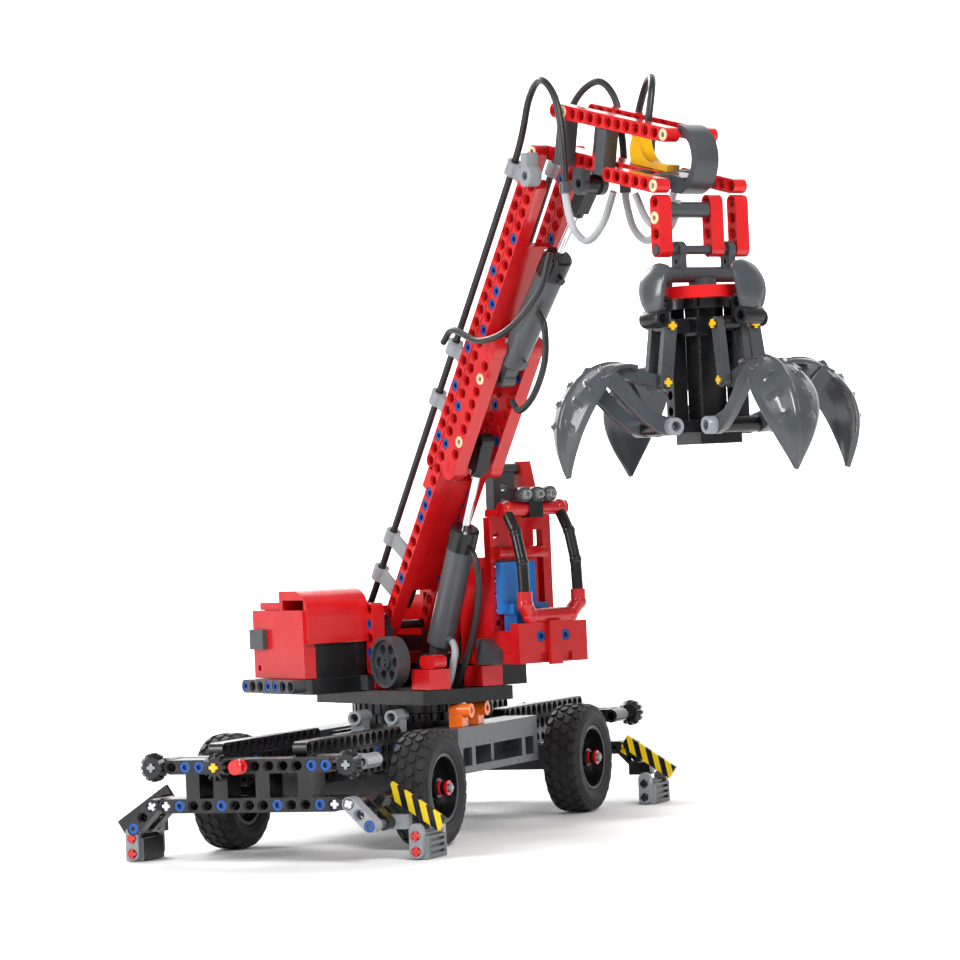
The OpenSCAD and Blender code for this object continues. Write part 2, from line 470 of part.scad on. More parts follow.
module boom_hoses() color([0.05,0.05,0.05]) sl() {
  for (w=[-13,13]) {
    a=onb(8,22); b=onb(60,22.6); c=onb(150,22.6); d=onb(240,22.6); e=onb(290,23.5);
    hose([[a[0]-8,w,a[1]-10],[a[0],w,a[1]],[b[0],w,b[1]],[c[0],w,c[1]],[d[0],w,d[1]],[e[0],w,e[1]],[e[0]+14,w*1.15,e[1]+24],[e[0]+30,w*1.4,e[1]+32],[e[0]+43,w*1.47,e[1]+22],[e[0]+48,w*1.47,e[1]+2],[e[0]+49,w*1.47,e[1]-20]],1.9,6);
    f=[e[0]+49,w*1.47,e[1]-25];
    hose([[f[0],f[1],f[2]],[f[0]+0.5,f[1],f[2]-8],[f[0]+6,f[1],f[2]-22],[f[0]+18,f[1],f[2]-29],[f[0]+32,f[1],f[2]-22],[f[0]+39.5,f[1],f[2]-11]],1.6,6);
  }
  // loops from the stick cylinder back to the clips on the boom
  g=onb(172,20); 
  hose([[g[0]-2,-22,g[1]],[g[0]+10,-23,g[1]+6],[g[0]+34,-23,g[1]-1],[g[0]+60,-21,g[1]+4],[g[0]+80,-15,g[1]+22],[g[0]+86,-11,g[1]+42]],1.7,8);
  h=onb(164,-24);
  hose([[h[0]+3,-4,h[1]-2],[h[0]+12,-5,h[1]-7],[h[0]+27,-6,h[1]+1],[h[0]+38,-6,h[1]+18],[h[0]+39,-6,h[1]+36],[h[0]+33,-5.5,h[1]+44]],1.7,8);
}

// ================= air cylinders (drawn along +X from the foot eye) =================
module barrel(len_b) {
  rotate([90,0,0]) difference() { cylinder(r=4.6,h=8.4,center=true); cylinder(r=2.4,h=9,center=true,$fn=32); }
  difference() {
    union() {
      translate([3.6,-3.8,-3.4]) cube([6,7.6,6.8]);
      translate([9,0,0]) rotate([0,90,0]) rotate_extrude($fn=64) polygon([[0,0],[5,0],[cyl_r,2.4],[cyl_r,len_b-13],[cyl_r+0.5,len_b-13],[cyl_r+0.5,len_b-1.2],[cyl_r-0.6,len_b],[0,len_b]]);
      translate([len_b-1,0,-cyl_r-1]) rotate([0,0,0]) cylinder(r=2.2,h=4,center=true,$fn=24);
      translate([17,0,-cyl_r-1]) cylinder(r=2.2,h=4,center=true,$fn=24);
    }
    translate([14,0,0]) rotate([0,90,0]) cylinder(r=6.4,h=len_b-9,$fn=64);
    translate([9,0,0]) rotate([0,90,0]) cylinder(r=2.4,h=len_b+20,$fn=32);
  }
}
module rod(l) {
  rotate([0,90,0]) { translate([0,0,44]) cylinder(r=2.32,h=l-44-6,$fn=32); translate([0,0,40]) cylinder(r=6.0,h=5,$fn=48); }
  difference() {
    union() { translate([l-17,-3.9,-3.9]) cube([15,7.8,7.8]); translate([l,0,0]) rotate([90,0,0]) cylinder(r=4.5,h=7.8,center=true); translate([l-20,0,0]) rotate([0,90,0]) cylinder(r=3.6,h=4,$fn=32); }
    translate([l,0,0]) rotate([90,0,0]) cylinder(r=2.5,h=20,center=true);
  }
}
module lift_barrel() color([0.22,0.23,0.25]) sl() at(fp[0],0,fp[1],lift_deg) barrel(72);
module lift_rod() color([0.8,0.8,0.82]) sl() at(fp[0],0,fp[1],lift_deg) rod(lift_len);
module lift_hoses() color([0.06,0.06,0.06]) sl() at(fp[0],0,fp[1],lift_deg) {
  hose([[71,0,-11.6],[66,0.5,-16],[50,2.5,-20.5],[30,3,-22.5],[12,3,-22],[0,3,-20.5],[-7.6,3,-19.1]],1.6,6);
  hose([[17,0,-11.6],[13,-0.6,-15.8],[8,-2.5,-18.6],[0,-3,-20],[-7.6,-3,-19.1]],1.6,6);
}
module stick_barrel() color([0.22,0.23,0.25]) sl() at(gp[0],0,gp[1],arm_deg) barrel(74);
module stick_rod() color([0.8,0.8,0.82]) sl() at(gp[0],0,gp[1],arm_deg) rod(arm_len);

// ================= stick =================
module st() translate([ep[0],0,ep[1]]) rotate([0,stick_deg,0]) children();
module stick_beams() color([0.78,0.05,0.04]) sl() {
  st() {
    for (s=[-1,1]) {
      translate([0,s*3.8,0]) beam(13);
      translate([16,s*12,24]) beam(13);
      translate([84,s*24,0]) beam(6);
    }
    translate([100,0,24]) translate([0,-8,-2]) cube([8,16,4]);
    translate([34,0,24]) translate([0,-8,-2]) cube([8,16,4]);
  }
  for (w=[-24,24]) translate([kp[0],w,gz]) rotate([0,-90,0]) beam(4);
  translate([gu,8.2,gz]) rotate([0,-90,0]) beam(4);
}
module stick_joint() color([0.13,0.14,0.15]) sl() {
  st() {
    // cylinder ears under the stick and their stub pins
    for (s=[-1,1]) difference() {
      union() { translate([32,s*6.2,-12]) rotate([90,0,0]) cylinder(r=6,h=3,center=true); translate([26.4,s>0?4.7:-7.7,-12]) cube([11.2,3,8.2]); }
      translate([32,s*6.2,-12]) rotate([90,0,0]) cylinder(r=2.4,h=4,center=true);
    }
    // uprights joining lower and upper beams
    for (s=[-1,1]) for (x=[24,60]) translate([x-3.8,s>0?8.1:-15.9,-3.6]) cube([7.6,7.8,23.4]);
    // cross tubes out to the legs
    for (x=[92,108]) for (s=[-1,1]) translate([x,s*13.9,0]) rotate([90,0,0]) cylinder(r=3.7,h=12,center=true);
    translate([112,0,0]) translate([-11.4,-7.7,-3.7]) cube([20,15.4,7.4]);
    // half-round band at the tip
    translate([112,7,11.5]) rotate([90,0,0]) linear_extrude(14) difference() { circle(r=17.8,$fn=72); circle(r=13.6,$fn=72); translate([-30,-20]) square([29,40]); translate([-6,11]) square([6,10]); translate([-2,-20]) square([40,3.6]); }
  }
  // knuckles above the grab
  translate([gu,-8.4,gz+20]) rotate([90,0,0]) cylinder(r=4,h=24,center=true);
}
module stick_guide() color([0.95,0.70,0.02]) sl() st() translate([82,4,12]) rotate([90,0,0]) linear_extrude(8) difference() {
  union() { circle(r=13,$fn=64); translate([6,-8]) square([14,3.4]); }
  translate([8,9]) circle(r=14.5,$fn=64);
  translate([-30,8]) square([60,20]); translate([-30,-30]) square([60,22]);
}
module stick_hoses() color([0.05,0.05,0.05]) sl() st() {
  hose([[44,18.2,2],[43,18.2,22],[48,17.6,40],[60,12,47],[71,5,43],[76,1,30],[77,0,20]],1.9,7);
  hose([[96,-18,-8],[104,-15,-20],[116,-13,-24],[124,-13.5,-18],[127,-14,-7]],1.6,6);
}

// ================= grab =================
module gr() translate([gu,0,gz]) children();
module gh() translate([gu,0,gz]) rotate([0,0,head_deg]) children();
module grab_yoke() color([0.25,0.26,0.28]) sl() gr() {
  rotate([90,0,0]) cylinder(r=2.32,h=57,center=true,$fn=32);
  for (w=[-14,16.6]) difference() { union() { translate([-3.6,w-2,-12]) cube([7.2,4,12]); translate([0,w,0]) rotate([90,0,0]) cylinder(r=4.4,h=4,center=true); } translate([0,w,-6]) rotate([90,0,0]) cylinder(r=1.2,h=5,center=true,$fn=24); }
  translate([0,0,-12.4]) rotate([90,0,0]) cylinder(r=4,h=46,center=true);
  for (s=[-1,1]) translate([0,s*25.6,-12.4]) rotate([90,0,0]) difference() { cylinder(r=5.4,h=5.4,center=true); cylinder(r=2.4,h=6,center=true); }
  translate([0,0,-26]) cylinder(r=4.4,h=12,$fn=40);
  translate([0,0,-18]) cylinder(r=7,h=3.4,$fn=40);
}
ht = -18.5;  // top of the head below the hanging axle
cz = -88;    // claw pivot height
cr_ = 30;    // claw pivot radius
module grab_head() color([0.07,0.07,0.08]) sl() gh() {
  difference() {
    union() { translate([0,0,ht-6]) cylinder(r=24,h=6,$fn=72); translate([0,0,ht-11]) cylinder(r=16,h=5.2,$fn=60); translate([-7,-7,cz-6]) cube([14,14,72]); }
    translate([0,0,ht-10]) cylinder(r=4.46,h=20,$fn=40);
    for (i=[0:3]) rotate([0,0,45+90*i]) translate([17,0,ht-3]) cylinder(r=2.4,h=14,center=true,$fn=32);
  }
  // lower hub: arms and four pivot tubes
  for (i=[0:3]) rotate([0,0,90*i]) {
    translate([6.5,-6,cz-3]) cube([21,12,6]);
    translate([cr_,0,cz]) difference() { rotate([90,0,0]) cylinder(r=3.9,h=20,center=true); rotate([90,0,0]) cylinder(r=2.45,h=21,center=true,$fn=32); }
  }
  translate([-12,-12,cz-9]) cube([24,24,6]);
  // perforated column on two corners
  for (a=[0,180]) rotate([0,0,a]) translate([11.1,11.1,cz+2]) rotate([0,0,0]) difference() {
    translate([-3.9,-3.9,0]) cube([7.8,7.8,60]);
    for (k=[0:6]) translate([0,0,6+8*k]) rotate([90,0,0]) cylinder(r=2.4,h=9,center=true,$fn=32);
  }
}
sz = -38;    // link pivot height
sr = 24;     // link pivot radius
qr = 28; qz = -66;   // link eye on the claw
module grab_slide() color([0.09,0.09,0.10]) sl() gh() {
  difference() {
    translate([-10.9,-10.9,sz-5]) cube([21.8,21.8,9]);
    translate([-7.4,-7.4,sz-9]) cube([14.8,14.8,20]);
    for (a=[0,180]) rotate([0,0,a]) translate([6.8,6.8,sz-9]) cube([9,9,20]);
  }
  for (i=[0:3]) rotate([0,0,90*i]) difference() {
    union() { translate([9,-4.2,sz-3.4]) cube([sr-9,8.4,6.8]); translate([sr,0,sz]) rotate([90,0,0]) cylinder(r=3.8,h=8.4,center=true); translate([sr,0,sz]) rotate([90,0,0]) cylinder(r=2.3,h=18,center=true,$fn=32); }
  }
}
// leaf centre line in the radial plane
leaf = [[44,-58],[58,-57.5],[70,-63],[79,-75],[83.5,-90],[83,-105],[79,-116]];
function off2(p,i,d) = let(t=(i<len(p)-1?p[i+1]:p[i])-(i>0?p[i-1]:p[i]), u=t/norm(t)) p[i]+d*[-u[1],u[0]];
function cr2(p,k=4) = let(n=len(p)) concat([for (i=[0:n-2]) for (j=[0:k-1]) cr(i==0?2*p[0]-p[1]:p[i-1],p[i],p[i+1],i==n-2?2*p[n-1]-p[n-2]:p[i+2],j/k)],[p[n-1]]);
lq = cr2(leaf);
module claw(a) sl() gh() rotate([0,0,a]) {
  // leaf: curved band cut to a pointed outline
  intersection() {
    translate([0,24,0]) rotate([90,0,0]) linear_extrude(48) polygon(concat([for (i=[0:len(lq)-1]) off2(lq,i,1.3)],[for (i=[len(lq)-1:-1:0]) off2(lq,i,-1.3)]));
    rotate([0,90,0]) linear_extrude(120) polygon([[50,-9],[56,-9],[60,-12],[66,-leaf_w/2+1],[74,-leaf_w/2],[86,-leaf_w/2+1.5],[98,-12],[108,-6.5],[117,-1],[119,0],[117,1],[108,6.5],[98,12],[86,leaf_w/2-1.5],[74,leaf_w/2],[66,leaf_w/2-1],[60,12],[56,9],[50,9]]);
  }
  // side prongs down to the pivot, with the pivot axle
  for (s=[-1,1]) difference() {
    union() {
      translate([0,s*12.6+2,0]) rotate([90,0,0]) linear_extrude(4) polygon([[28,cz-4],[33,cz-3.6],[46,cz+4],[57,cz+13],[63,cz+21],[60,-56.5],[56,-56.3],[50,cz+20],[42,cz+12],[34,cz+6],[27,cz+2]]);
      translate([cr_,s*12.6,cz]) rotate([90,0,0]) cylinder(r=4.4,h=4,center=true);
    }
  }
  translate([cr_,0,cz]) rotate([90,0,0]) cylinder(r=2.37,h=29.4,center=true,$fn=32);
  for (s=[-1,1]) translate([52,s*11.5-3.2,-61]) cube([8,6.4,4]);
  // upper lug for the link
  translate([0,4.2,0]) rotate([90,0,0]) linear_extrude(8.4) polygon([[qr-1,qz-3.6],[qr+3,qz-3.2],[50,-61.5],[56,-61.5],[56,-57.2],[44,-57],[qr-1,qz+3.6]]);
  translate([qr,0,qz]) rotate([90,0,0]) cylinder(r=3.7,h=8.4,center=true);
}
module claw_front() color([0.27,0.29,0.31]) claw(0);
module claw_left() color([0.27,0.29,0.31]) claw(90);
module claw_back() color([0.27,0.29,0.31]) claw(180);
module claw_right() color([0.27,0.29,0.31]) claw(270);
link_l = norm([qr-sr,qz-sz]);
module link(a) sl() gh() rotate([0,0,a]) for (s=[-1,1]) translate([sr,s*6.5,sz]) rotate([0,-atan2(qz-sz,qr-sr),0]) difference() {
  union() { bar(link_l,3.6,7); for (x=[0,link_l]) translate([x,s*2.6,0]) rotate([90,0,0]) cylinder(r=2.3,h=2,center=true,$fn=32); }
  rotate([90,0,0]) cylinder(r=2.38,h=12,center=true,$fn=32);
}
module link_front() color([0.30,0.31,0.33]) link(0);
module link_left() color([0.30,0.31,0.33]) link(90);
module link_back() color([0.30,0.31,0.33]) link(180);
module link_right() color([0.30,0.31,0.33]) link(270);

chassis_rails();
chassis_deck();
side_panels();
end_beams();
chassis_pins();
tube_couplers();
turntable_base();
marker_lamps();
tyre_nl();
tyre_nr();
tyre_fl();
tyre_fr();
rim_nl();
rim_nr();
rim_fl();
rim_fr();
leg_nl();
leg_nr();
leg_fl();
leg_fr();
foot_nl();
foot_nr();
foot_fl();
foot_fr();
gear_nl();
gear_nr();
gear_fl();
gear_fr();
house_frame();
house_panels();
house_trim();
house_pins();
cab_shell();
cab_seat();
cab_lamps();
slew_wheel();
boom_beams();
boom_pins();
hose_clips();
boom_hoses();
lift_barrel();
lift_rod();
lift_hoses();
stick_barrel();
stick_rod();
stick_beams();
stick_joint();
stick_guide();
stick_hoses();
grab_yoke();
grab_head();
grab_slide();
claw_front();
claw_back();
claw_left();
claw_right();
link_front();
link_back();
link_left();
link_right();
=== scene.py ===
import bpy, bmesh, math
from math import sin, cos, radians, pi
from mathutils import Vector, Matrix, Quaternion

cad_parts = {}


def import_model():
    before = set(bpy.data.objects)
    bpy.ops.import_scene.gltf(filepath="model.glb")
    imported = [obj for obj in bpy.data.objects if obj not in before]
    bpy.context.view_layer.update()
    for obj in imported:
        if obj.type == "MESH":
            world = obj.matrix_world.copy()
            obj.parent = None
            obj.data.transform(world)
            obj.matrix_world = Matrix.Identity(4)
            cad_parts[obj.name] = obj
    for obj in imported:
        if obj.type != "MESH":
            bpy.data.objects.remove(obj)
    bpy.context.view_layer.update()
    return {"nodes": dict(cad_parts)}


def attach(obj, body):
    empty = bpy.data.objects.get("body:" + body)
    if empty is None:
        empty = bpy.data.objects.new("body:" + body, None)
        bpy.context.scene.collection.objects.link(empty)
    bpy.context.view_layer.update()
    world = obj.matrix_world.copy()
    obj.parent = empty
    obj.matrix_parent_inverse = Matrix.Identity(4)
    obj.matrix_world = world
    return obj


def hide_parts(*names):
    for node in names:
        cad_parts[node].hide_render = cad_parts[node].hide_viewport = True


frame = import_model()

N = frame["nodes"]

# ------------------------------------------------------------ reference frame
OX, OY = 14.00, 111.25
PHI = radians(-123)
MM = 0.001


def V(x, y, z):
    """chassis point, mm -> row frame, m"""
    return Vector(((OX + x) * MM, (OY + y) * MM, z * MM))


def H(u, w, z):
    """house point (arm along u), mm -> row frame, m"""
    return Vector(((OX + u * cos(PHI) - w * sin(PHI)) * MM, (OY + u * sin(PHI) + w * cos(PHI)) * MM, z * MM))


def HD(u, w, z):
    return Vector((u * cos(PHI) - w * sin(PHI), u * sin(PHI) + w * cos(PHI), z)).normalized()


BD = radians(55.2); SD = radians(13.0)
bp = (4.9, 114.5)
bd = (cos(BD), sin(BD)); bn = (-sin(BD), cos(BD))


def onb(t, n): return (bp[0] + t * bd[0] + n * bn[0], bp[1] + t * bd[1] + n * bn[1])


ep = onb(296, 8); lp = onb(128, -11); fp = (31.0, 94.0); gp = onb(168, -11)


def ons(x, z): return (ep[0] + x * cos(SD) + z * sin(SD), ep[1] - x * sin(SD) + z * cos(SD))


sp = ons(32, -12); kp = ons(124, 0); gu, gz = kp[0], kp[1] - 32
lift_a = math.atan2(lp[1] - fp[1], lp[0] - fp[0]); lift_l = math.hypot(lp[0] - fp[0], lp[1] - fp[1])
arm_a = math.atan2(sp[1] - gp[1], sp[0] - gp[0]); arm_l = math.hypot(sp[0] - gp[0], sp[1] - gp[1])


def HB(t, n, w): p = onb(t, n); return H(p[0], w, p[1])


def HS(x, w, z): p = ons(x, z); return H(p[0], w, p[1])


def HG(r, a, z, w=0.0):
    """grab point: radius r and side offset w at angle a (degrees), z from the hanging axle"""
    a = radians(a)
    return H(gu + r * cos(a) - w * sin(a), r * sin(a) + w * cos(a), gz + z)


# ------------------------------------------------------------ camera
az, el, roll = radians(23.02), radians(0.138), radians(2.5)
f = Vector((cos(el) * cos(az), cos(el) * sin(az), sin(el)))
right = f.cross(Vector((0, 0, 1))).normalized()
down = f.cross(right)
r0 = right * cos(roll) + down * sin(roll)
r1 = down * cos(roll) - right * sin(roll)
cam = bpy.data.objects.new("photo_camera", bpy.data.cameras.new("photo_camera"))
bpy.context.scene.collection.objects.link(cam)
X, Y, Z = r0, -r1, -f
m = Matrix(((X.x, Y.x, Z.x), (X.y, Y.y, Z.y), (X.z, Y.z, Z.z))).to_4x4()
m.translation = Vector(((-2133.6 + OX) * MM, (-956.1 + OY) * MM, 187.1 * MM))
cam.matrix_world = m
cam.data.lens = 157.5
cam.data.sensor_width = 36
cam.data.clip_start = 0.05
cam.data.clip_end = 60
bpy.context.scene.camera = cam
bpy.context.scene.view_settings.view_transform = "Standard"

# ------------------------------------------------------------ materials


def _lnk(nt, a, b): nt.links.new(a, b)


def material(name, rgb, rough=0.35, var=0.05, bump=0.01, bump_scale=450.0, wear=0.25, wear_rgb=None, metallic=0.0,
             rough_var=0.06, coat=0.0, scale=70.0, alpha=1.0, transmission=0.0, ior=1.5, spec=0.5, masks=(), aniso=0.0, sheen=0.0,
             dust=0.0):
    """procedural plastic or metal: two-scale colour variation, roughness map, moulding bump, worn edges.
    masks: list of (kind, args, rgb, rough, metallic) painted over the base."""
    mat = bpy.data.materials.new(name)
    mat.use_nodes = True
    nt = mat.node_tree
    nt.nodes.clear()
    out = nt.nodes.new("ShaderNodeOutputMaterial")
    bs = nt.nodes.new("ShaderNodeBsdfPrincipled")
    _lnk(nt, bs.outputs[0], out.inputs[0])
    tc = nt.nodes.new("ShaderNodeTexCoord")
    n1 = nt.nodes.new("ShaderNodeTexNoise"); n1.inputs["Scale"].default_value = scale; n1.inputs["Detail"].default_value = 5
    _lnk(nt, tc.outputs["Object"], n1.inputs["Vector"])
    n2 = nt.nodes.new("ShaderNodeTexNoise"); n2.inputs["Scale"].default_value = scale * 9; n2.inputs["Detail"].default_value = 3
    _lnk(nt, tc.outputs["Object"], n2.inputs["Vector"])

    def mixc(fac, a, b, blend="MIX"):
        mx = nt.nodes.new("ShaderNodeMix"); mx.data_type = "RGBA"; mx.blend_type = blend
        if isinstance(fac, float): mx.inputs[0].default_value = fac
        else: _lnk(nt, fac, mx.inputs[0])
        for sock, v in ((mx.inputs[6], a), (mx.inputs[7], b)):
            if isinstance(v, tuple): sock.default_value = (*v[:3], 1)
            else: _lnk(nt, v, sock)
        return mx.outputs[2]

    def mixf(fac, a, b):
        mx = nt.nodes.new("ShaderNodeMix"); mx.data_type = "FLOAT"
        _lnk(nt, fac, mx.inputs[0])
        for sock, v in ((mx.inputs[2], a), (mx.inputs[3], b)):
            if isinstance(v, float): sock.default_value = v
            else: _lnk(nt, v, sock)
        return mx.outputs[0]

    def mapr(v, a, b, c, d):
        mr = nt.nodes.new("ShaderNodeMapRange")
        _lnk(nt, v, mr.inputs[0])
        for i, x in enumerate((a, b, c, d)): mr.inputs[i + 1].default_value = x
        return mr.outputs[0]

    dark = tuple(max(c * (1 - var), 0) for c in rgb); light = tuple(min(c * (1 + var) + 0.004, 1) for c in rgb)
    col = mixc(mapr(n1.outputs["Fac"], 0.35, 0.65, 0, 1), dark, light)
    rg = mapr(n1.outputs["Fac"], 0.3, 0.7, max(rough * (1 - rough_var), 0.02), min(rough * (1 + rough_var) + 0.02, 1))
    mtl = None
    for kind, args, mrgb, mrough, mmet in masks:
        if kind == "along":            # args: origin, direction, lo, hi (m)
            o, d, lo, hi = args
            sb = nt.nodes.new("ShaderNodeVectorMath"); sb.operation = "SUBTRACT"; _lnk(nt, tc.outputs["Object"], sb.inputs[0]); sb.inputs[1].default_value = o
            dt = nt.nodes.new("ShaderNodeVectorMath"); dt.operation = "DOT_PRODUCT"; _lnk(nt, sb.outputs[0], dt.inputs[0]); dt.inputs[1].default_value = d
            m1 = mapr(dt.outputs["Value"], lo - 0.00005, lo + 0.00005, 0, 1); m2 = mapr(dt.outputs["Value"], hi - 0.00005, hi + 0.00005, 1, 0)
            mm = nt.nodes.new("ShaderNodeMath"); mm.operation = "MULTIPLY"; _lnk(nt, m1, mm.inputs[0]); _lnk(nt, m2, mm.inputs[1])
            mk = mm.outputs[0]
        elif kind == "stripes":        # args: origin, x-direction, lo, hi, stripe direction, pitch
            o, d, lo, hi, sdir, pitch = args
            sb = nt.nodes.new("ShaderNodeVectorMath"); sb.operation = "SUBTRACT"; _lnk(nt, tc.outputs["Object"], sb.inputs[0]); sb.inputs[1].default_value = o
            dt = nt.nodes.new("ShaderNodeVectorMath"); dt.operation = "DOT_PRODUCT"; _lnk(nt, sb.outputs[0], dt.inputs[0]); dt.inputs[1].default_value = d
            m1 = mapr(dt.outputs["Value"], lo - 0.00005, lo + 0.00005, 0, 1); m2 = mapr(dt.outputs["Value"], hi - 0.00005, hi + 0.00005, 1, 0)
            mm = nt.nodes.new("ShaderNodeMath"); mm.operation = "MULTIPLY"; _lnk(nt, m1, mm.inputs[0]); _lnk(nt, m2, mm.inputs[1])
            ds = nt.nodes.new("ShaderNodeVectorMath"); ds.operation = "DOT_PRODUCT"; _lnk(nt, sb.outputs[0], ds.inputs[0]); ds.inputs[1].default_value = sdir
            fr = nt.nodes.new("ShaderNodeMath"); fr.operation = "WRAP"; _lnk(nt, ds.outputs["Value"], fr.inputs[0]); fr.inputs[1].default_value = pitch; fr.inputs[2].default_value = 0
            st = mapr(fr.outputs[0], pitch * 0.5 - 0.00008, pitch * 0.5 + 0.00008, 0, 1)
            mm2 = nt.nodes.new("ShaderNodeMath"); mm2.operation = "MULTIPLY"; _lnk(nt, mm.outputs[0], mm2.inputs[0]); _lnk(nt, st, mm2.inputs[1])
            mk = mm2.outputs[0]
        elif kind == "around":         # args: point, axis, r lo, r hi   (distance from an axis)
            o, d, lo, hi = args
            sb = nt.nodes.new("ShaderNodeVectorMath"); sb.operation = "SUBTRACT"; _lnk(nt, tc.outputs["Object"], sb.inputs[0]); sb.inputs[1].default_value = o
            cr = nt.nodes.new("ShaderNodeVectorMath"); cr.operation = "CROSS_PRODUCT"; _lnk(nt, sb.outputs[0], cr.inputs[0]); cr.inputs[1].default_value = d
            ln = nt.nodes.new("ShaderNodeVectorMath"); ln.operation = "LENGTH"; _lnk(nt, cr.outputs[0], ln.inputs[0])
            m1 = mapr(ln.outputs["Value"], lo - 0.00005, lo + 0.00005, 0, 1); m2 = mapr(ln.outputs["Value"], hi - 0.00005, hi + 0.00005, 1, 0)
            mm = nt.nodes.new("ShaderNodeMath"); mm.operation = "MULTIPLY"; _lnk(nt, m1, mm.inputs[0]); _lnk(nt, m2, mm.inputs[1])
            mk = mm.outputs[0]
        col = mixc(mk, col, mixc(mapr(n1.outputs["Fac"], 0.35, 0.65, 0, 1), tuple(c * (1 - var) for c in mrgb), tuple(min(c * (1 + var), 1) for c in mrgb)))
        rg = mixf(mk, rg, float(mrough))
        if mmet != metallic or mtl is not None:
            mtl = mixf(mk, mtl if mtl is not None else float(metallic), float(mmet))
    if wear > 0:
        bv = nt.nodes.new("ShaderNodeBevel"); bv.samples = 4; bv.inputs["Radius"].default_value = 0.00055
        ge = nt.nodes.new("ShaderNodeNewGeometry")
        dp = nt.nodes.new("ShaderNodeVectorMath"); dp.operation = "DOT_PRODUCT"
        _lnk(nt, bv.outputs[0], dp.inputs[0]); _lnk(nt, ge.outputs["Normal"], dp.inputs[1])
        e = mapr(dp.outputs["Value"], 0.985, 0.90, 0, 1)
        nz = mapr(n2.outputs["Fac"], 0.42, 0.62, 0.25, 1)
        ml = nt.nodes.new("ShaderNodeMath"); ml.operation = "MULTIPLY"; _lnk(nt, e, ml.inputs[0]); _lnk(nt, nz, ml.inputs[1])
        ml2 = nt.nodes.new("ShaderNodeMath"); ml2.operation = "MULTIPLY"; _lnk(nt, ml.outputs[0], ml2.inputs[0]); ml2.inputs[1].default_value = wear
        wr = wear_rgb or tuple(min(c * 1.25 + 0.05, 1) for c in rgb)
        col = mixc(ml2.outputs[0], col, wr)
        rg = mixf(ml2.outputs[0], rg, min(rough + 0.18, 1.0))
    _lnk(nt, col, bs.inputs["Base Color"])
    _lnk(nt, rg, bs.inputs["Roughness"])
    if mtl is not None: _lnk(nt, mtl, bs.inputs["Metallic"])
    else: bs.inputs["Metallic"].default_value = metallic
    bs.inputs["IOR"].default_value = ior
    bs.inputs["Specular IOR Level"].default_value = spec
    if coat: bs.inputs["Coat Weight"].default_value = coat; bs.inputs["Coat Roughness"].default_value = 0.08
    if transmission: bs.inputs["Transmission Weight"].default_value = transmission
    if alpha < 1: bs.inputs["Alpha"].default_value = alpha
    if bump:
        n3 = nt.nodes.new("ShaderNodeTexNoise"); n3.inputs["Scale"].default_value = bump_scale; n3.inputs["Detail"].default_value = 2
        _lnk(nt, tc.outputs["Object"], n3.inputs["Vector"])
        bu = nt.nodes.new("ShaderNodeBump"); bu.inputs["Strength"].default_value = bump; bu.inputs["Distance"].default_value = 0.0002
        _lnk(nt, n3.outputs["Fac"], bu.inputs["Height"])
        _lnk(nt, bu.outputs[0], bs.inputs["Normal"])
    return mat


BLACK = (0.0065, 0.0065, 0.0075); DGREY = (0.052, 0.058, 0.064); LGREY = (0.26, 0.28, 0.30)
RED = (0.60, 0.006, 0.008); BLUE = (0.005, 0.07, 0.30); YEL = (0.85, 0.48, 0.01); CREAM = (0.72, 0.60, 0.38)
M = {}
M["black"] = material("black_plastic", BLACK, rough=0.26, wear=0.35, wear_rgb=(0.10, 0.10, 0.11))
M["dgrey"] = material("dark_grey_plastic", DGREY, rough=0.28, wear=0.3, wear_rgb=(0.20, 0.21, 0.22))
M["lgrey"] = material("light_grey_plastic", LGREY, rough=0.28, wear=0.25)
M["red"] = material("red_plastic", RED, rough=0.2, var=0.04, wear=0.15, wear_rgb=(0.85, 0.10, 0.08), coat=0.35)
M["blue"] = material("blue_pin_plastic", BLUE, rough=0.25, wear=0.2)
M["seat"] = material("blue_seat_plastic", (0.015, 0.19, 0.58), rough=0.22, wear=0.15, coat=0.3)
M["yellow"] = material("yellow_plastic", YEL, rough=0.26, wear=0.2)
M["cream"] = material("cream_pin_plastic", CREAM, rough=0.3, wear=0.2)
M["white"] = material("white_axle_plastic", (0.62, 0.64, 0.66), rough=0.3, wear=0.2)
M["rubber"] = material("tyre_rubber", (0.014, 0.014, 0.015), rough=0.62, var=0.25, bump=0.25, bump_scale=1500, wear=0.3, wear_rgb=(0.06, 0.06, 0.06), spec=0.35)
M["hose"] = material("black_hose_rubber", (0.012, 0.012, 0.013), rough=0.38, var=0.2, bump=0.05, wear=0)
M["hose_grey"] = material("grey_hose_rubber", (0.36, 0.38, 0.40), rough=0.4, var=0.12, bump=0.05, wear=0)
M["amber"] = material("amber_lamp_plastic", (0.9, 0.16, 0.01), rough=0.12, wear=0.1, coat=0.5)
M["lens"] = material("clear_lamp_plastic", (0.78, 0.80, 0.80), rough=0.08, wear=0.1, transmission=0.65, coat=0.5)

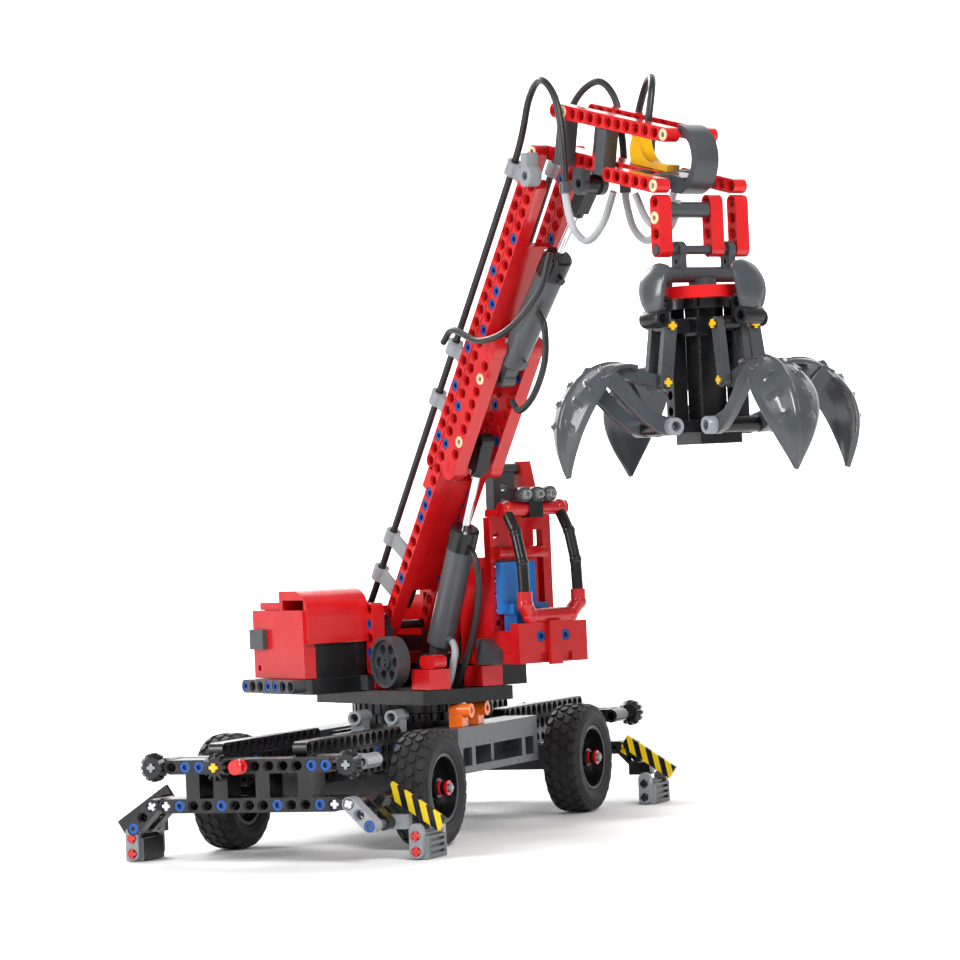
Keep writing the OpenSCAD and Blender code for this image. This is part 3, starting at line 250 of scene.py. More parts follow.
XH = Vector((1, 0, 0))
lo_ = H(fp[0], 0, fp[1]); ld_ = HD(cos(lift_a), 0, sin(lift_a))
go_ = H(gp[0], 0, gp[1]); gd_ = HD(cos(arm_a), 0, sin(arm_a))
CHROME = (0.75, 0.76, 0.78)
M["lift_barrel"] = material("lift_barrel_plastic", (0.075, 0.083, 0.090), rough=0.24, wear=0.25, masks=[("along", (lo_, ld_, 0.0588 + 0.009, 1.0), BLACK, 0.2, 0.0)])
M["stick_barrel"] = material("stick_barrel_plastic", (0.075, 0.083, 0.090), rough=0.24, wear=0.25, masks=[("along", (go_, gd_, 0.0608 + 0.009, 1.0), BLACK, 0.2, 0.0)])
M["lift_rod"] = material("lift_rod_steel", CHROME, rough=0.10, var=0.04, bump=0.01, wear=0, metallic=1.0, masks=[("along", (lo_, ld_, (lift_l - 20.05) * MM, 1.0), BLACK, 0.25, 0.0)])
M["stick_rod"] = material("stick_rod_steel", CHROME, rough=0.10, var=0.04, bump=0.01, wear=0, metallic=1.0, masks=[("along", (go_, gd_, (arm_l - 20.05) * MM, 1.0), BLACK, 0.25, 0.0)])
M["head"] = material("grab_head_plastic", BLACK, rough=0.26, wear=0.3, wear_rgb=(0.10, 0.10, 0.11),
                     masks=[("along", (H(gu, 0, gz), Vector((0, 0, 1)), -0.0246, -0.0184), RED, 0.22, 0.0)])
M["claw"] = material("claw_plastic", (0.052, 0.060, 0.066), rough=0.24, var=0.05, wear=0.10, wear_rgb=(0.20, 0.21, 0.22), coat=0.15)

for c, mx, sy in (("nl", -1, 1), ("nr", -1, -1), ("fl", 1, 1), ("fr", 1, -1)):
    o = V(mx * 200, sy * 56, 31)
    ax = Vector((-mx, 0, 0))
    sd = Vector((0, sy * 0.98, 0.209)).normalized()
    masks = [("stripes", (o, ax, 0.0298, 0.0328, sd, 0.0066), (0.85, 0.60, 0.01), 0.35, 0.0)]
    if c == "nl": masks = []
    if c == "nr": masks.insert(0, ("along", (o, ax, -0.005, 0.0045), LGREY, 0.28, 0.0))
    M["leg_" + c] = material("outrigger_plastic_" + c, BLACK, rough=0.26, wear=0.35, wear_rgb=(0.10, 0.10, 0.11), masks=masks)

for c, mx, sy in (("nl", -1, 1), ("nr", -1, -1), ("fl", 1, 1), ("fr", 1, -1)):
    o = V(mx * 200, sy * 56, 31)
    ax = Vector((-mx, 0, 0))
    M["foot_" + c] = material("foot_plastic_" + c, (0.085, 0.093, 0.10) if c == "nr" else BLACK, rough=0.28, wear=0.25,
                              masks=[("along", (o, ax, 0.0200, 0.02445, ), LGREY, 0.26, 0.0), ("along", (o, ax, 0.0470, 0.0515), LGREY, 0.26, 0.0)])

assign = {}
for n in ("chassis_rails chassis_deck end_beams turntable_base house_frame grab_slide gear_nl gear_nr gear_fl gear_fr rim_nl rim_nr rim_fl rim_fr stick_joint").split(): assign[n] = "black"
for n in "side_panels house_trim slew_wheel grab_yoke link_front link_back link_left link_right stick_joint".split(): assign[n] = "dgrey"
assign["hose_clips"] = "lgrey"; assign["tube_couplers"] = "coupler"
M["coupler"] = material("coupler_plastic", LGREY, rough=0.28, wear=0.25, masks=[("along", (V(120, 0, 0), Vector((1, 0, 0)), 0.0, 0.2), BLACK, 0.26, 0.0)])
for n in "nl nr fl fr".split(): assign["foot_" + n] = "foot_" + n
for n in "chassis_pins house_pins boom_pins".split(): assign[n] = "blue"
for n in "house_panels cab_shell boom_beams stick_beams".split(): assign[n] = "red"
for n in "claw_front claw_back claw_left claw_right".split(): assign[n] = "claw"
for n in "tyre_nl tyre_nr tyre_fl tyre_fr".split(): assign[n] = "rubber"
for n in "boom_hoses lift_hoses stick_hoses".split(): assign[n] = "hose"
for n in "nl nr fl fr".split(): assign["leg_" + n] = "leg_" + n
assign.update(cab_seat="seat", cab_lamps="lens", marker_lamps="amber", stick_guide="yellow", lift_barrel="lift_barrel", stick_barrel="stick_barrel",
              lift_rod="lift_rod", stick_rod="stick_rod", grab_head="head")


def bevel(o, w=0.00028, seg=1, ang=38):
    b = o.modifiers.new("edges", "BEVEL"); b.width = w; b.segments = seg; b.limit_method = "ANGLE"; b.angle_limit = radians(ang)
    b.harden_normals = False; b.miter_outer = "MITER_SHARP"; b.use_clamp_overlap = True
    return b


NOBEV = ("hose", "tyre", "pins", "gear")
for name, o in N.items():
    if not any(t in name for t in NOBEV): bevel(o)
    o.data.materials.clear()
    o.data.materials.append(M[assign[name]])
    for p in o.data.polygons: p.material_index = 0

# ------------------------------------------------------------ stage
s = 6.0
me = bpy.data.meshes.new("floor"); bm = bmesh.new()
bmesh.ops.create_grid(bm, x_segments=2, y_segments=2, size=s); bm.to_mesh(me); bm.free()
floor = bpy.data.objects.new("floor", me); bpy.context.scene.collection.objects.link(floor)
floor.location = (0, 0, 0)
fm = bpy.data.materials.new("floor_paper"); fm.use_nodes = True
fb = fm.node_tree.nodes["Principled BSDF"]; fb.inputs["Base Color"].default_value = (0.90, 0.90, 0.90, 1); fb.inputs["Roughness"].default_value = 0.7
nz = fm.node_tree.nodes.new("ShaderNodeTexNoise"); nz.inputs["Scale"].default_value = 4
bu = fm.node_tree.nodes.new("ShaderNodeBump"); bu.inputs["Strength"].default_value = 0.02
fm.node_tree.links.new(nz.outputs["Fac"], bu.inputs["Height"]); fm.node_tree.links.new(bu.outputs[0], fb.inputs["Normal"])
me.materials.append(fm)

w = bpy.data.worlds.new("studio"); bpy.context.scene.world = w; w.use_nodes = True
wn = w.node_tree; bg = wn.nodes["Background"]; bg.inputs[1].default_value = 0.38
tc = wn.nodes.new("ShaderNodeTexCoord"); sx = wn.nodes.new("ShaderNodeSeparateXYZ"); rp = wn.nodes.new("ShaderNodeValToRGB")
wn.links.new(tc.outputs["Generated"], sx.inputs[0]); wn.links.new(sx.outputs["Z"], rp.inputs[0]); wn.links.new(rp.outputs[0], bg.inputs[0])
rp.color_ramp.elements[0].position = 0.0; rp.color_ramp.elements[0].color = (0.86, 0.87, 0.88, 1)
rp.color_ramp.elements[1].position = 0.7; rp.color_ramp.elements[1].color = (1, 1, 1, 1)


def area(name, loc, target, size, power, col=(1, 1, 1)):
    l = bpy.data.lights.new(name, "AREA"); l.shape = "RECTANGLE"; l.size, l.size_y = size; l.energy = power; l.color = col
    o = bpy.data.objects.new(name, l); bpy.context.scene.collection.objects.link(o)
    o.location = loc
    o.rotation_mode = "QUATERNION"
    o.rotation_quaternion = (Vector(target) - Vector(loc)).to_track_quat("-Z", "Y")
    return o


area("key", (-1.3, -1.25, 1.35), (0, 0, 0.2), (0.55, 0.9), 34)
area("rim", (0.9, 1.3, 1.2), (0, 0, 0.2), (1.0, 0.6), 20)
area("side", (-1.3, 0.95, 0.75), (0, 0, 0.2), (0.35, 1.1), 17)
# paper wall behind the model, lit evenly to white
me = bpy.data.meshes.new("backdrop"); bm = bmesh.new()
bc = Vector((0, 0, 0)) + f * 1.9
br = right * 4.0
bm.faces.new([bm.verts.new(bc + br * a + Vector((0, 0, 1)) * b) for a, b in ((-1, -0.3), (1, -0.3), (1, 3.4), (-1, 3.4))])
bm.to_mesh(me); bm.free()
wall = bpy.data.objects.new("backdrop", me); bpy.context.scene.collection.objects.link(wall)
wm = bpy.data.materials.new("backdrop_paper"); wm.use_nodes = True
wb = wm.node_tree.nodes["Principled BSDF"]; wb.inputs["Base Color"].default_value = (0.9, 0.9, 0.9, 1); wb.inputs["Emission Color"].default_value = (1, 1, 1, 1)
wb.inputs["Emission Strength"].default_value = 0.93
me.materials.append(wm)
#DETAILS
# ------------------------------------------------------------ mesh helpers


def obj(name, verts, faces, mat, body, smooth=35, bev=0.0, seg=1):
    me = bpy.data.meshes.new(name); me.from_pydata([tuple(v) for v in verts], [], faces); me.validate(); me.update()
    bm = bmesh.new(); bm.from_mesh(me); bmesh.ops.recalc_face_normals(bm, faces=bm.faces)
    for fc in bm.faces: fc.smooth = True
    for e in bm.edges:
        if len(e.link_faces) == 2 and e.calc_face_angle(0) > radians(smooth): e.smooth = False
    bm.to_mesh(me); bm.free()
    o = bpy.data.objects.new(name, me); bpy.context.scene.collection.objects.link(o)
    me.materials.append(mat)
    if bev: bevel(o, bev, seg)
    if body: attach(o, body)
    return o


def frame_of(axis, up=None):
    z = Vector(axis).normalized()
    u = Vector(up) if up is not None else (Vector((0, 0, 1)) if abs(z.z) < 0.9 else Vector((1, 0, 0)))
    x = (u - z * u.dot(z)).normalized()
    return x, z.cross(x), z


def lathe(name, c, axis, prof, mat, body, n=32, closed=False):
    """prof: (radius, height) in mm along axis from c"""
    x, y, z = frame_of(axis)
    vs, fs = [], []
    for r, h in prof:
        for i in range(n):
            a = 2 * pi * i / n
            vs.append(Vector(c) + (x * cos(a) + y * sin(a)) * r * MM + z * h * MM)
    k = len(prof)
    for j in range(k - 1 + (1 if closed else 0)):
        for i in range(n):
            a, b = j * n + i, j * n + (i + 1) % n
            c2, d = ((j + 1) % k) * n + (i + 1) % n, ((j + 1) % k) * n + i
            fs.append((a, b, c2, d))
    if not closed:
        fs.append(tuple(range(n))); fs.append(tuple((k - 1) * n + i for i in range(n)))
    return obj(name, vs, fs, mat, body)


def cross_prism(name, c, axis, h, mat, body, R=2.3, w=0.9, turn=0.0):
    """end of a cross axle: c is the middle of the outer face, h its depth backwards (mm)"""
    x, y, z = frame_of(axis)
    if turn: x, y = x * cos(turn) + y * sin(turn), y * cos(turn) - x * sin(turn)
    P = [(w, w), (w, R), (-w, R), (-w, w), (-R, w), (-R, -w), (-w, -w), (-w, -R), (w, -R), (w, -w), (R, -w), (R, w)]
    vs = [Vector(c) + (x * a + y * b) * MM for a, b in P] + [Vector(c) + (x * a + y * b) * MM - z * h * MM for a, b in P]
    n = len(P)
    fs = [tuple(range(n)), tuple(range(2 * n - 1, n - 1, -1))] + [(i, (i + 1) % n, n + (i + 1) % n, n + i) for i in range(n)]
    return obj(name, vs, fs, mat, body, bev=0.00018)


def smooth_path(p, k=10):
    p = [Vector(q) for q in p]; out = []
    n = len(p)
    for i in range(n - 1):
        a = p[i - 1] if i else p[0] * 2 - p[1]; b = p[i]; c = p[i + 1]; d = p[i + 2] if i + 2 < n else p[-1] * 2 - p[-2]
        for j in range(k):
            t = j / k
            out.append(0.5 * ((2 * b) + (c - a) * t + (2 * a - 5 * b + 4 * c - d) * t * t + (3 * b - a - 3 * c + d) * t ** 3))
    out.append(p[-1])
    return out


def hose(name, pts, r, mat, body, k=10, n=16):
    q = smooth_path(pts, k)
    vs, fs = [], []
    s = None
    for i, pnt in enumerate(q):
        t = (q[min(i + 1, len(q) - 1)] - q[max(i - 1, 0)]).normalized()
        if s is None: s = frame_of(t)[0]
        s = (s - t * s.dot(t)).normalized(); b = t.cross(s)
        for j in range(n):
            a = 2 * pi * j / n
            vs.append(pnt + (s * cos(a) + b * sin(a)) * r * MM)
    m = len(q)
    for i in range(m - 1):
        for j in range(n):
            a, b2 = i * n + j, i * n + (j + 1) % n
            fs.append((a, b2, b2 + n, a + n))
    fs.append(tuple(range(n))); fs.append(tuple((m - 1) * n + j for j in range(n)))
    return obj(name, vs, fs, mat, body)


def pin_end(name, c, axis, mat, body, R=2.75, r=1.35, h=0.55, slot=None):
    """end of a hollow friction pin: c is the middle of the rim's outer face"""
    x, y, z = frame_of(axis)
    lathe(name, c, axis, [(r, 0.0), (r + 0.25, 0.0), (R - 0.25, 0.0), (R, -0.25), (R, -h), (r, -h - 2.4), (0.05, -h - 2.4), (r, -h - 2.3)][:6] + [(r, -h)], mat, body, n=28, closed=True)


# ------------------------------------------------------------ wheels: bush, axle end, rim ring (painted edge highlight), tread
for c, mx, sy in (("nl", -1, 1), ("nr", -1, -1), ("fl", 1, 1), ("fr", 1, -1)):
    b = "wheel_" + c
    ax = (0, sy, 0)
    lathe("bush_" + c, V(mx * 107, sy * 64.6, 31.2), ax, [(2.46, 0), (3.95, 0), (3.95, 1.1), (3.35, 1.5), (3.35, 3.4), (3.95, 3.8), (3.95, 5.2), (2.46, 5.2)], M["red"], b, closed=True)
    cross_prism("axle_end_" + c, V(mx * 107, sy * 71.6, 31.2), ax, 5, M["lgrey"], b)
    # painted highlight: a dark grey ring on the black rim's outer lip stands in for the rim's light edge highlight
    lathe("rim_highlight_ring_" + c, V(mx * 107, sy * 66.2, 31.2), ax, [(17.0, 0), (18.0, 0), (18.2, 0.7), (17.8, 1.1), (17.2, 1.0)], M["dgrey"], b, n=72, closed=True)
    # tyre: lathed carcass with a raised sidewall band and hexagonal tread blocks
    prof = [(18.7, -9.2), (19.6, -10.1), (22.0, -10.5), (22.5, -10.8), (24.6, -10.8), (25.0, -10.45), (27.2, -10.2), (28.6, -9.3), (29.4, -7.4), (29.9, -4.0), (30.0, 0.0),
            (29.9, 4.0), (29.4, 7.4), (28.6, 9.3), (27.2, 10.2), (25.0, 10.45), (24.6, 10.8), (22.5, 10.8), (22.0, 10.5), (19.6, 10.1), (18.7, 9.2)]
    ctr = V(mx * 107, sy * 57.5, 31.2)
    ty = lathe("tyre_body_" + c, ctr, ax, prof, M["rubber"], b, n=96, closed=True)
    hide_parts("tyre_" + c)
    x, y, z = frame_of(ax)
    vs, fs = [], []
    rows = 26
    for i in range(rows):
        for k, (yy, sh) in enumerate(((-7.7, 0.0), (-2.55, 0.5), (2.55, 0.0), (7.7, 0.5))):
            a0 = 2 * pi * (i + sh) / rows
            hw = 2.15 if abs(yy) > 5 else 2.3; hl = 3.15
            hexa = [(-hl, 0), (-hl * 0.52, hw), (hl * 0.52, hw), (hl, 0), (hl * 0.52, -hw), (-hl * 0.52, -hw)]
            base = len(vs)
            for top in (0, 1):
                for (aa, bb) in hexa:
                    s_ = 0.88 if top else 1.0
                    yv = yy + bb * s_; ang = a0 + aa * s_ / 30.0
                    rr = (31.1 - 0.075 * max(abs(yv) - 4.5, 0) ** 1.75) if top else 28.6
                    rr = min(rr, 31.1)
                    vs.append(ctr + (x * cos(ang) + y * sin(ang)) * rr * MM + z * yv * MM)
            fs.append(tuple(base + 6 + q for q in range(6))); fs.append(tuple(base + 5 - q for q in range(6)))
            for q in range(6): fs.append((base + q, base + (q + 1) % 6, base + 6 + (q + 1) % 6, base + 6 + q))
    # shoulder blocks down the sidewall
    for i in range(rows * 2):
        for sd in (-1, 1):
            a0 = 2 * pi * (i + 0.25) / (rows * 2)
            base = len(vs)
            w2 = 1.15 if i % 2 else 1.45
            for (rr, yv) in ((26.2, 10.28), (28.2, 9.55), (29.5, 8.9), (29.5, 7.6), (28.0, 8.4), (26.2, 9.6)):
                for ww in (-w2, w2):
                    ang = a0 + ww / 28
                    vs.append(ctr + (x * cos(ang) + y * sin(ang)) * (rr + 0.55) * MM + z * sd * (yv + 0.3) * MM)
            for q in range(5): fs.append((base + 2 * q, base + 2 * q + 1, base + 2 * q + 3, base + 2 * q + 2))
            fs.append(tuple(base + 2 * q for q in range(6))); fs.append(tuple(base + 2 * q + 1 for q in range(5, -1, -1)))
            fs.append((base + 10, base + 11, base + 1, base))
    obj("tyre_tread_" + c, vs, fs, M["rubber"], b, smooth=30, bev=0.0002)

# ------------------------------------------------------------ chassis details
for m_, lab in ((-1, "n"), (1, "f")):
    xo = m_ * 203.9
    ax = (m_, 0, 0)
    for s_, l2 in ((1, "l"), (-1, "r")):
        cross_prism("pivot_axle_end_%s%s" % (lab, l2), V(m_ * 204.35, s_ * 56, 31), ax, 2.0, M["white"], "leg_" + lab + l2, turn=0.5)
        cross_prism("beam_axle_end_%s%s" % (lab, l2), V(m_ * 203.6, s_ * 48, 31), ax, 3.0, M["white"], "chassis")
        cross_prism("gear_axle_end_%s%s" % (lab, l2), V(m_ * 204.6, s_ * 55.5, 51), ax, 1.0, M["lgrey"], "gear_" + lab + l2)
    # hand gear on a yellow axle in the middle of the upper beam, with its red bush
    c0 = V(m_ * 204.1, 16, 51)
    R0, n = 5.4, 12
    x, y, z = frame_of(ax)
    vs, fs = [], []
    prof = []
    for i in range(n):
        for da, r_ in ((-0.13, 5.3), (-0.10, 7.2), (0.10, 7.2), (0.13, 5.3)):
            a = 2 * pi * i / n + da; prof.append((r_ * cos(a), r_ * sin(a)))
    for h, k in ((0.2, 0.86), (1.6, 1), (4.6, 1), (6.0, 0.86)):
        for (a, b_) in prof: vs.append(c0 + (x * a + y * b_) * MM * k + z * h * MM)
    L = len(prof)
    for j in range(3):
        for i in range(L): fs.append((j * L + i, j * L + (i + 1) % L, (j + 1) * L + (i + 1) % L, (j + 1) * L + i))
    fs.append(tuple(range(L))); fs.append(tuple(3 * L + i for i in range(L)))
    obj("mid_gear_" + lab, vs, fs, M["black"], "chassis", bev=0.0002)
    cross_prism("mid_gear_axle_" + lab, V(m_ * 211.6, 16, 51), ax, 2.0, M["yellow"], "chassis")
    lathe("mid_bush_" + lab, V(m_ * 204.1, 3.5, 51), ax, [(0.05, 0), (3.9, 0), (3.9, 1.6), (3.1, 2.0), (3.1, 5.2), (3.9, 5.6), (3.9, 7.4), (3.4, 7.8), (0.05, 7.8)], M["red"], "chassis")

# outrigger feet: red axle ends, blue pin at the arm end
for c, mx, sy in (("nl", -1, 1), ("nr", -1, -1), ("fl", 1, 1), ("fr", 1, -1)):
    py = 56 + 16 * cos(radians(45)); pz = 31 - 16 * sin(radians(45))
    for z0 in (4.4, 12.4):
        cross_prism("foot_axle_%s_%d" % (c, z0), V(mx * 180.35, sy * (py + 14.2), z0), (mx, 0, 0), 3.0, M["red"], "foot_" + c, R=2.55, w=1.05)
    lathe("arm_pin_" + c, V(mx * 203.2, sy * py, pz), (mx, 0, 0), [(1.3, 0), (1.3, 0.9), (2.5, 0.9), (2.9, 0.6), (2.9, 0)], M["blue"], "foot_" + c, closed=True)

# ------------------------------------------------------------ grab leaves
LP = [(43, -58), (50, -57.0), (57.5, -57.0), (65, -59.2), (72, -63.8), (79.5, -73), (84, -85), (84.2, -98), (81, -111.5)]
HW = [7.0, 8.5, 11.5, 15.0, 17.2, 17.8, 15.2, 9.4, 0.7]


def leaf(name, ang, body, node):
    P = smooth_path([Vector((a, b_, 0)) for a, b_ in LP], 11)
    W = [v.x for v in smooth_path([Vector((h, 0, 0)) for h in HW], 11)]
    n = len(P); K = 44
    tot = [0.0]
    for i in range(1, n): tot.append(tot[-1] + (P[i] - P[i - 1]).length)
    L = tot[-1]
    vs, fs = [], []
    ribs = [0.26, 0.40, 0.54, 0.68]
    for side in (0, 1):
        for i in range(n):
            t = (P[min(i + 1, n - 1)] - P[max(i - 1, 0)]).normalized()
            nrm = Vector((-t.y, t.x, 0))
            if nrm.dot(Vector((1, 1, 0))) < 0: nrm = -nrm
            s_ = tot[i] / L
            w_ = max(W[i], 0.5)
            fade = min(1, max(0, (s_ - 0.05) / 0.25))
            for j in range(K + 1):
                q = -1 + 2 * j / K
                aq = abs(q)
                # roof section: steep middle ridge, a crease at half width, then a turned-down edge
                h = -fade * w_ * (0.20 * aq + (0.30 * (aq - 0.52) if aq > 0.52 else 0))
                if side == 0:
                    h += 1.3
                    h += 0.9 * max(0, 1 - abs(q * w_) / 1.1) * min(1, s_ / 0.1) * min(1, (1 - s_) / 0.06)
                    for rb in ribs:
                        d_ = (s_ - rb) * L - (aq - 0.52) * w_ * 0.55
                        x_ = (aq - 0.52) * w_
                        k_ = max(0, 1 - abs(d_) / 1.25) * max(0, 1 - abs(x_) / (0.20 * w_ + 0.8))
                        h += 2.6 * k_ * min(1, w_ / 12)
                    h -= 0.6 * max(0, aq - 0.88) / 0.12
                else:
                    h -= 1.1
                    h += 0.45 * max(0, aq - 0.88) / 0.12
                p = P[i] + nrm * h
                vs.append(HG(p.x, ang - 6.5, p.y, w_ * q))
    S = n * (K + 1)
    for i in range(n - 1):
        for j in range(K):
            a = i * (K + 1) + j
            fs.append((a, a + 1, a + K + 2, a + K + 1)); fs.append((S + a, S + a + K + 1, S + a + K + 2, S + a + 1))
        for j in (0, K):
            a = i * (K + 1) + j
            fs.append((a, a + K + 1, S + a + K + 1, S + a))
    for i in (0, n - 1):
        for j in range(K):
            a = i * (K + 1) + j
            fs.append((a, a + 1, S + a + 1, S + a))
    o = obj(name, vs, fs, M["claw"], body, smooth=24)
    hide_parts(node)
    return o


def slab(name, ang, poly, w0, w1, mat, body, bev=0.0004):
    """polygon in the radial plane (r, z) between side offsets w0 and w1"""
    n = len(poly)
    vs = [HG(a, ang, b_, w0) for a, b_ in poly] + [HG(a, ang, b_, w1) for a, b_ in poly]
    fs = [tuple(range(n)), tuple(range(2 * n - 1, n - 1, -1))] + [(i, (i + 1) % n, n + (i + 1) % n, n + i) for i in range(n)]
    return obj(name, vs, fs, mat, body, bev=bev, seg=2)


def disc_pts(cx, cz, r, n=20, a0=0, a1=360):
    return [(cx + r * cos(radians(a0 + (a1 - a0) * i / n)), cz + r * sin(radians(a0 + (a1 - a0) * i / n))) for i in range(n + (0 if a1 - a0 == 360 else 1))]


for nm, a in (("front", 0), ("left", 90), ("back", 180), ("right", 270)):
    b = "claw_" + nm
    leaf("leaf_" + nm, a, b, b)
    A = a - 6.5
    prong = disc_pts(30, -88, 4.5, 14, 120, 300) + [(38, -90), (47, -83.5), (57, -74), (64, -66.5), (67, -62.6), (60, -59.6), (53, -66), (47, -73.5), (39.5, -80.5), (32, -83)]
    for s_ in (-1, 1):
        slab("prong_%s_%s" % (nm, "ab"[s_ > 0]), A, prong, s_ * 10.6, s_ * 14.6, M["claw"], b)
    lug = disc_pts(28, -66, 3.8, 14, 90, 290) + [(34, -67.5), (44, -64.5), (54, -61.5), (57, -59.0), (50, -57.6), (42, -58.2), (33, -61.2)]
    slab("lug_" + nm, A, lug, -4.2, 4.2, M["claw"], b)
    # axle through the prongs, its ends and the sleeve on it
    tdir = HG(0, A, 0, 1) - HG(0, A, 0, 0)
    for s_ in (-1, 1):
        cross_prism("claw_axle_%s_%s" % (nm, "ab"[s_ > 0]), HG(30, A, -88, s_ * 15.0), tdir * s_, 4.0, M["lgrey"], b)
        cross_prism("link_top_%s_%s" % (nm, "ab"[s_ > 0]), HG(24, A, -38, s_ * 10.4), tdir * s_, 2.2, M["yellow"], "link_" + nm, R=2.2)
        cross_prism("link_low_%s_%s" % (nm, "ab"[s_ > 0]), HG(28, A, -66, s_ * 10.4), tdir * s_, 2.2, M["yellow"], "link_" + nm, R=2.2)

for nm, a in (("front", 0), ("left", 90), ("back", 180), ("right", 270)):
    A = a - 6.5
    tdir = (HG(0, A, 0, 1) - HG(0, A, 0, 0)).normalized()
    for s_ in (-1, 1):
        lathe("pivot_boss_%s_%s" % (nm, "ab"[s_ > 0]), HG(30, A, -88, s_ * 14.7), tdir * s_, [(2.5, 0), (4.4, 0), (4.4, 4.6), (4.0, 5.2), (2.9, 5.2), (2.5, 4.8)], M["lgrey"], "claw_" + nm, closed=True)
    # curved guard above each leaf, with the round boss that carries it
    path = smooth_path([Vector(q_) for q_ in ((28.4, -7.5, 0), (31, -9.5, 0), (34, -14, 0), (35.6, -20, 0), (35.6, -26, 0), (34.4, -31.5, 0))], 7)
    vs, fs = [], []
    hw = [5.0, 8.6]
    n = len(path); K = 10
    for side in (0, 1):
        for i in range(n):
            t = (path[min(i + 1, n - 1)] - path[max(i - 1, 0)]).normalized(); nr = Vector((-t.y, t.x, 0))
            if nr.dot(Vector((1, 1, 0))) < 0: nr = -nr
            w_ = 4.6 + 4.2 * math.sin(pi * min(1, (i / (n - 1)) * 0.9 + 0.05))
            for j in range(K + 1):
                q_ = -1 + 2 * j / K
                p = path[i] + nr * ((1.3 if side == 0 else -1.3) - 1.5 * q_ * q_)
                vs.append(HG(p.x, A + 12, p.y, w_ * q_))
    S = n * (K + 1)
    for i in range(n - 1):
        for j in range(K):
            b0 = i * (K + 1) + j
            fs.append((b0, b0 + 1, b0 + K + 2, b0 + K + 1)); fs.append((S + b0, S + b0 + K + 1, S + b0 + K + 2, S + b0 + 1))
        for j in (0, K):
            b0 = i * (K + 1) + j
            fs.append((b0, b0 + K + 1, S + b0 + K + 1, S + b0))
    for i in (0, n - 1):
        for j in range(K):
            b0 = i * (K + 1) + j
            fs.append((b0, b0 + 1, S + b0 + 1, S + b0))
    obj("guard_" + nm, vs, fs, M["claw"], "grab_head", smooth=40, bev=0.0004, seg=2)
    td2 = (HG(0, A + 12, 0, 1) - HG(0, A + 12, 0, 0)).normalized()
    lathe("guard_boss_" + nm, HG(33.5, A + 12, -34.5, -6.5), td2, [(2.5, 0), (4.3, 0), (4.5, 0.6), (4.5, 12.4), (4.3, 13), (2.5, 13)], M["black"], "grab_head", closed=True)
    lathe("guard_boss_in_" + nm, HG(28.5, A + 12, -27.5, -4), td2, [(2.5, 0), (4.3, 0), (4.5, 0.6), (4.5, 7.4), (4.3, 8), (2.5, 8)], M["black"], "grab_head", closed=True)

# ------------------------------------------------------------ hoses
e = onb(290, 23.5)
k = 0
for w_ in (-13, 13):
    a = onb(8, 22); b_ = onb(60, 22.6); c_ = onb(150, 22.6); d_ = onb(240, 22.6)
    pts = [H(a[0] - 8, w_, a[1] - 10), H(a[0], w_, a[1]), H(b_[0], w_, b_[1]), H(c_[0], w_, c_[1]), H(d_[0], w_, d_[1]), H(e[0], w_, e[1]),
           H(e[0] + 14, w_ * 1.15, e[1] + 24), H(e[0] + 30, w_ * 1.4, e[1] + 32), H(e[0] + 43, w_ * 1.47, e[1] + 22), H(e[0] + 48, w_ * 1.47, e[1] + 2), H(e[0] + 49, w_ * 1.47, e[1] - 20), H(e[0] + 49, w_ * 1.47, e[1] - 25)]
    h1 = hose("boom_hose_%d" % k, pts, 1.9, M["hose"], "boom")
    if k == 0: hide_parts("boom_hoses")
    f0 = (e[0] + 49, w_ * 1.47, e[1] - 25)
    pts = [H(f0[0], f0[1], f0[2] + 1), H(f0[0] + 0.5, f0[1], f0[2] - 8), H(f0[0] + 6, f0[1], f0[2] - 22), H(f0[0] + 18, f0[1], f0[2] - 29), H(f0[0] + 32, f0[1], f0[2] - 21), H(f0[0] + 42, f0[1], f0[2] - 6)]
    hose("elbow_hose_%d" % k, pts, 1.95, M["hose_grey"], "boom")
    lathe("hose_nut_%d" % k, H(f0[0], f0[1], f0[2] - 3), (0, 0, 1), [(1.9, 0), (3.0, 0), (3.0, 5), (2.5, 5.6), (1.9, 5.6)], M["dgrey"], "boom", closed=True)
    k += 1
g = onb(172, 20)
hose("cylinder_hose_top", [H(g[0] - 2, -22, g[1]), H(g[0] + 10, -23, g[1] + 6), H(g[0] + 34, -23, g[1] - 1), H(g[0] + 60, -21, g[1] + 4), H(g[0] + 80, -15, g[1] + 22), H(g[0] + 86, -11, g[1] + 42)], 1.8, M["hose"], "boom")
h_ = onb(164, -24)
hose("cylinder_hose_low", [H(h_[0] + 3, -4, h_[1] - 2), H(h_[0] + 12, -5, h_[1] - 7), H(h_[0] + 27, -6, h_[1] + 1), H(h_[0] + 38, -6, h_[1] + 18), H(h_[0] + 39, -6, h_[1] + 36), H(h_[0] + 33, -5.5, h_[1] + 44)], 1.8, M["hose"], "boom")


def HL(x, w, z):
    """lift cylinder frame"""
    return H(fp[0] + x * cos(lift_a) - z * sin(lift_a), w, fp[1] + x * sin(lift_a) + z * cos(lift_a))


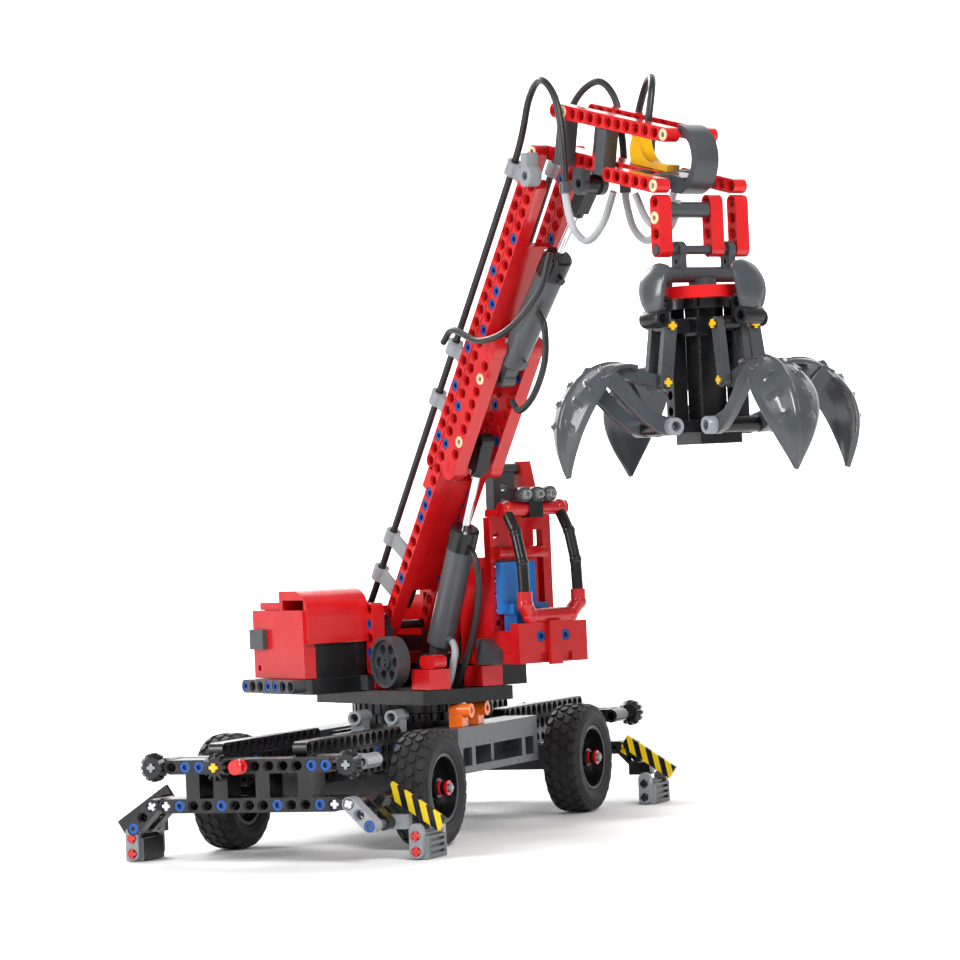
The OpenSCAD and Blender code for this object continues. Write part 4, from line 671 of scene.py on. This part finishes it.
h2 = hose("lift_hose_top", [HL(71, 0, -9.6), HL(69.5, 0.1, -13.5), HL(64, 0.6, -18), HL(50, 2.2, -22), HL(30, 3, -23.5), HL(12, 3, -22.4), HL(0, 3, -20.6), HL(-7.6, 3, -19.1)], 1.75, M["hose"], "lift_barrel")
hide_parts("lift_hoses")
hose("lift_hose_low", [HL(17, 0, -9.6), HL(16, -0.2, -13), HL(13, -0.8, -16.2), HL(8, -2.4, -18.8), HL(0, -3, -20), HL(-7.6, -3, -19.1)], 1.95, M["hose_grey"], "lift_barrel")
q = lambda *a: HS(a[0], a[1], a[2])
h3 = hose("stick_hose_loop", [q(44, 18.2, 2), q(43, 18.2, 22), q(48, 17.6, 40), q(60, 12, 47), q(71, 5, 43), q(76, 1, 30), q(77, 0, 20)], 1.9, M["hose"], "stick")
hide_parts("stick_hoses")
hose("stick_hose_low", [q(96, -18, -8), q(104, -15, -20), q(116, -13, -24), q(124, -13.5, -18), q(127, -14, -7)], 1.9, M["hose_grey"], "stick")

# pins in the legs that carry the grab
for s_ in (-1, 1):
    lathe("leg_pin_%s" % "ab"[s_ > 0], H(kp[0], s_ * 28.3, gz + 16), HD(0, 1, 0) * s_, [(1.4, -3.0), (2.3, -3.0), (2.3, -0.7), (3.0, -0.7), (3.1, -0.1), (2.8, 0.25), (1.7, 0.25), (1.4, 0.0)], M["cream"], "stick", closed=True)
# ------------------------------------------------------------ lamp housings
for y_ in (30.6, 39, 47.4):
    lathe("lamp_ring_%d" % y_, H(75.6, y_, 183.7), HD(1, 0, 0), [(3.95, 0), (4.18, 0), (4.18, 4.4), (4.0, 4.7), (3.3, 4.7), (3.3, 3.7), (3.95, 3.6)], M["dgrey"], "house", n=40, closed=True)

# ------------------------------------------------------------ pivot pins with cream ends
vax = HD(0, 1, 0)
for nm, pt, w0, body in (("elbow", ep, 16.3, "boom"), ("lift_eye", lp, 16.3, "boom"), ("stick_foot", gp, 16.3, "boom"), ("boom_foot", bp, 23.2, "house")):
    for s_ in (-1, 1):
        lathe("%s_pin_%s" % (nm, "ab"[s_ > 0]), H(pt[0], s_ * w0, pt[1]), vax * s_, [(1.4, -3.0), (2.3, -3.0), (2.3, -0.7), (3.0, -0.7), (3.1, -0.1), (2.8, 0.25), (1.7, 0.25), (1.4, 0.0)], M["cream"], body, closed=True)
for x_, z_, w_ in ((112, 24, 16.2), (24, 24, 16.2), (124, 0, 28.3)):
    for s_ in (-1, 1):
        lathe("stick_pin_%d_%s" % (x_, "ab"[s_ > 0]), HS(x_, s_ * w_, z_), vax * s_, [(1.4, -3.0), (2.3, -3.0), (2.3, -0.7), (3.0, -0.7), (3.1, -0.1), (2.8, 0.25), (1.7, 0.25), (1.4, 0.0)], M["cream"], "stick", closed=True)
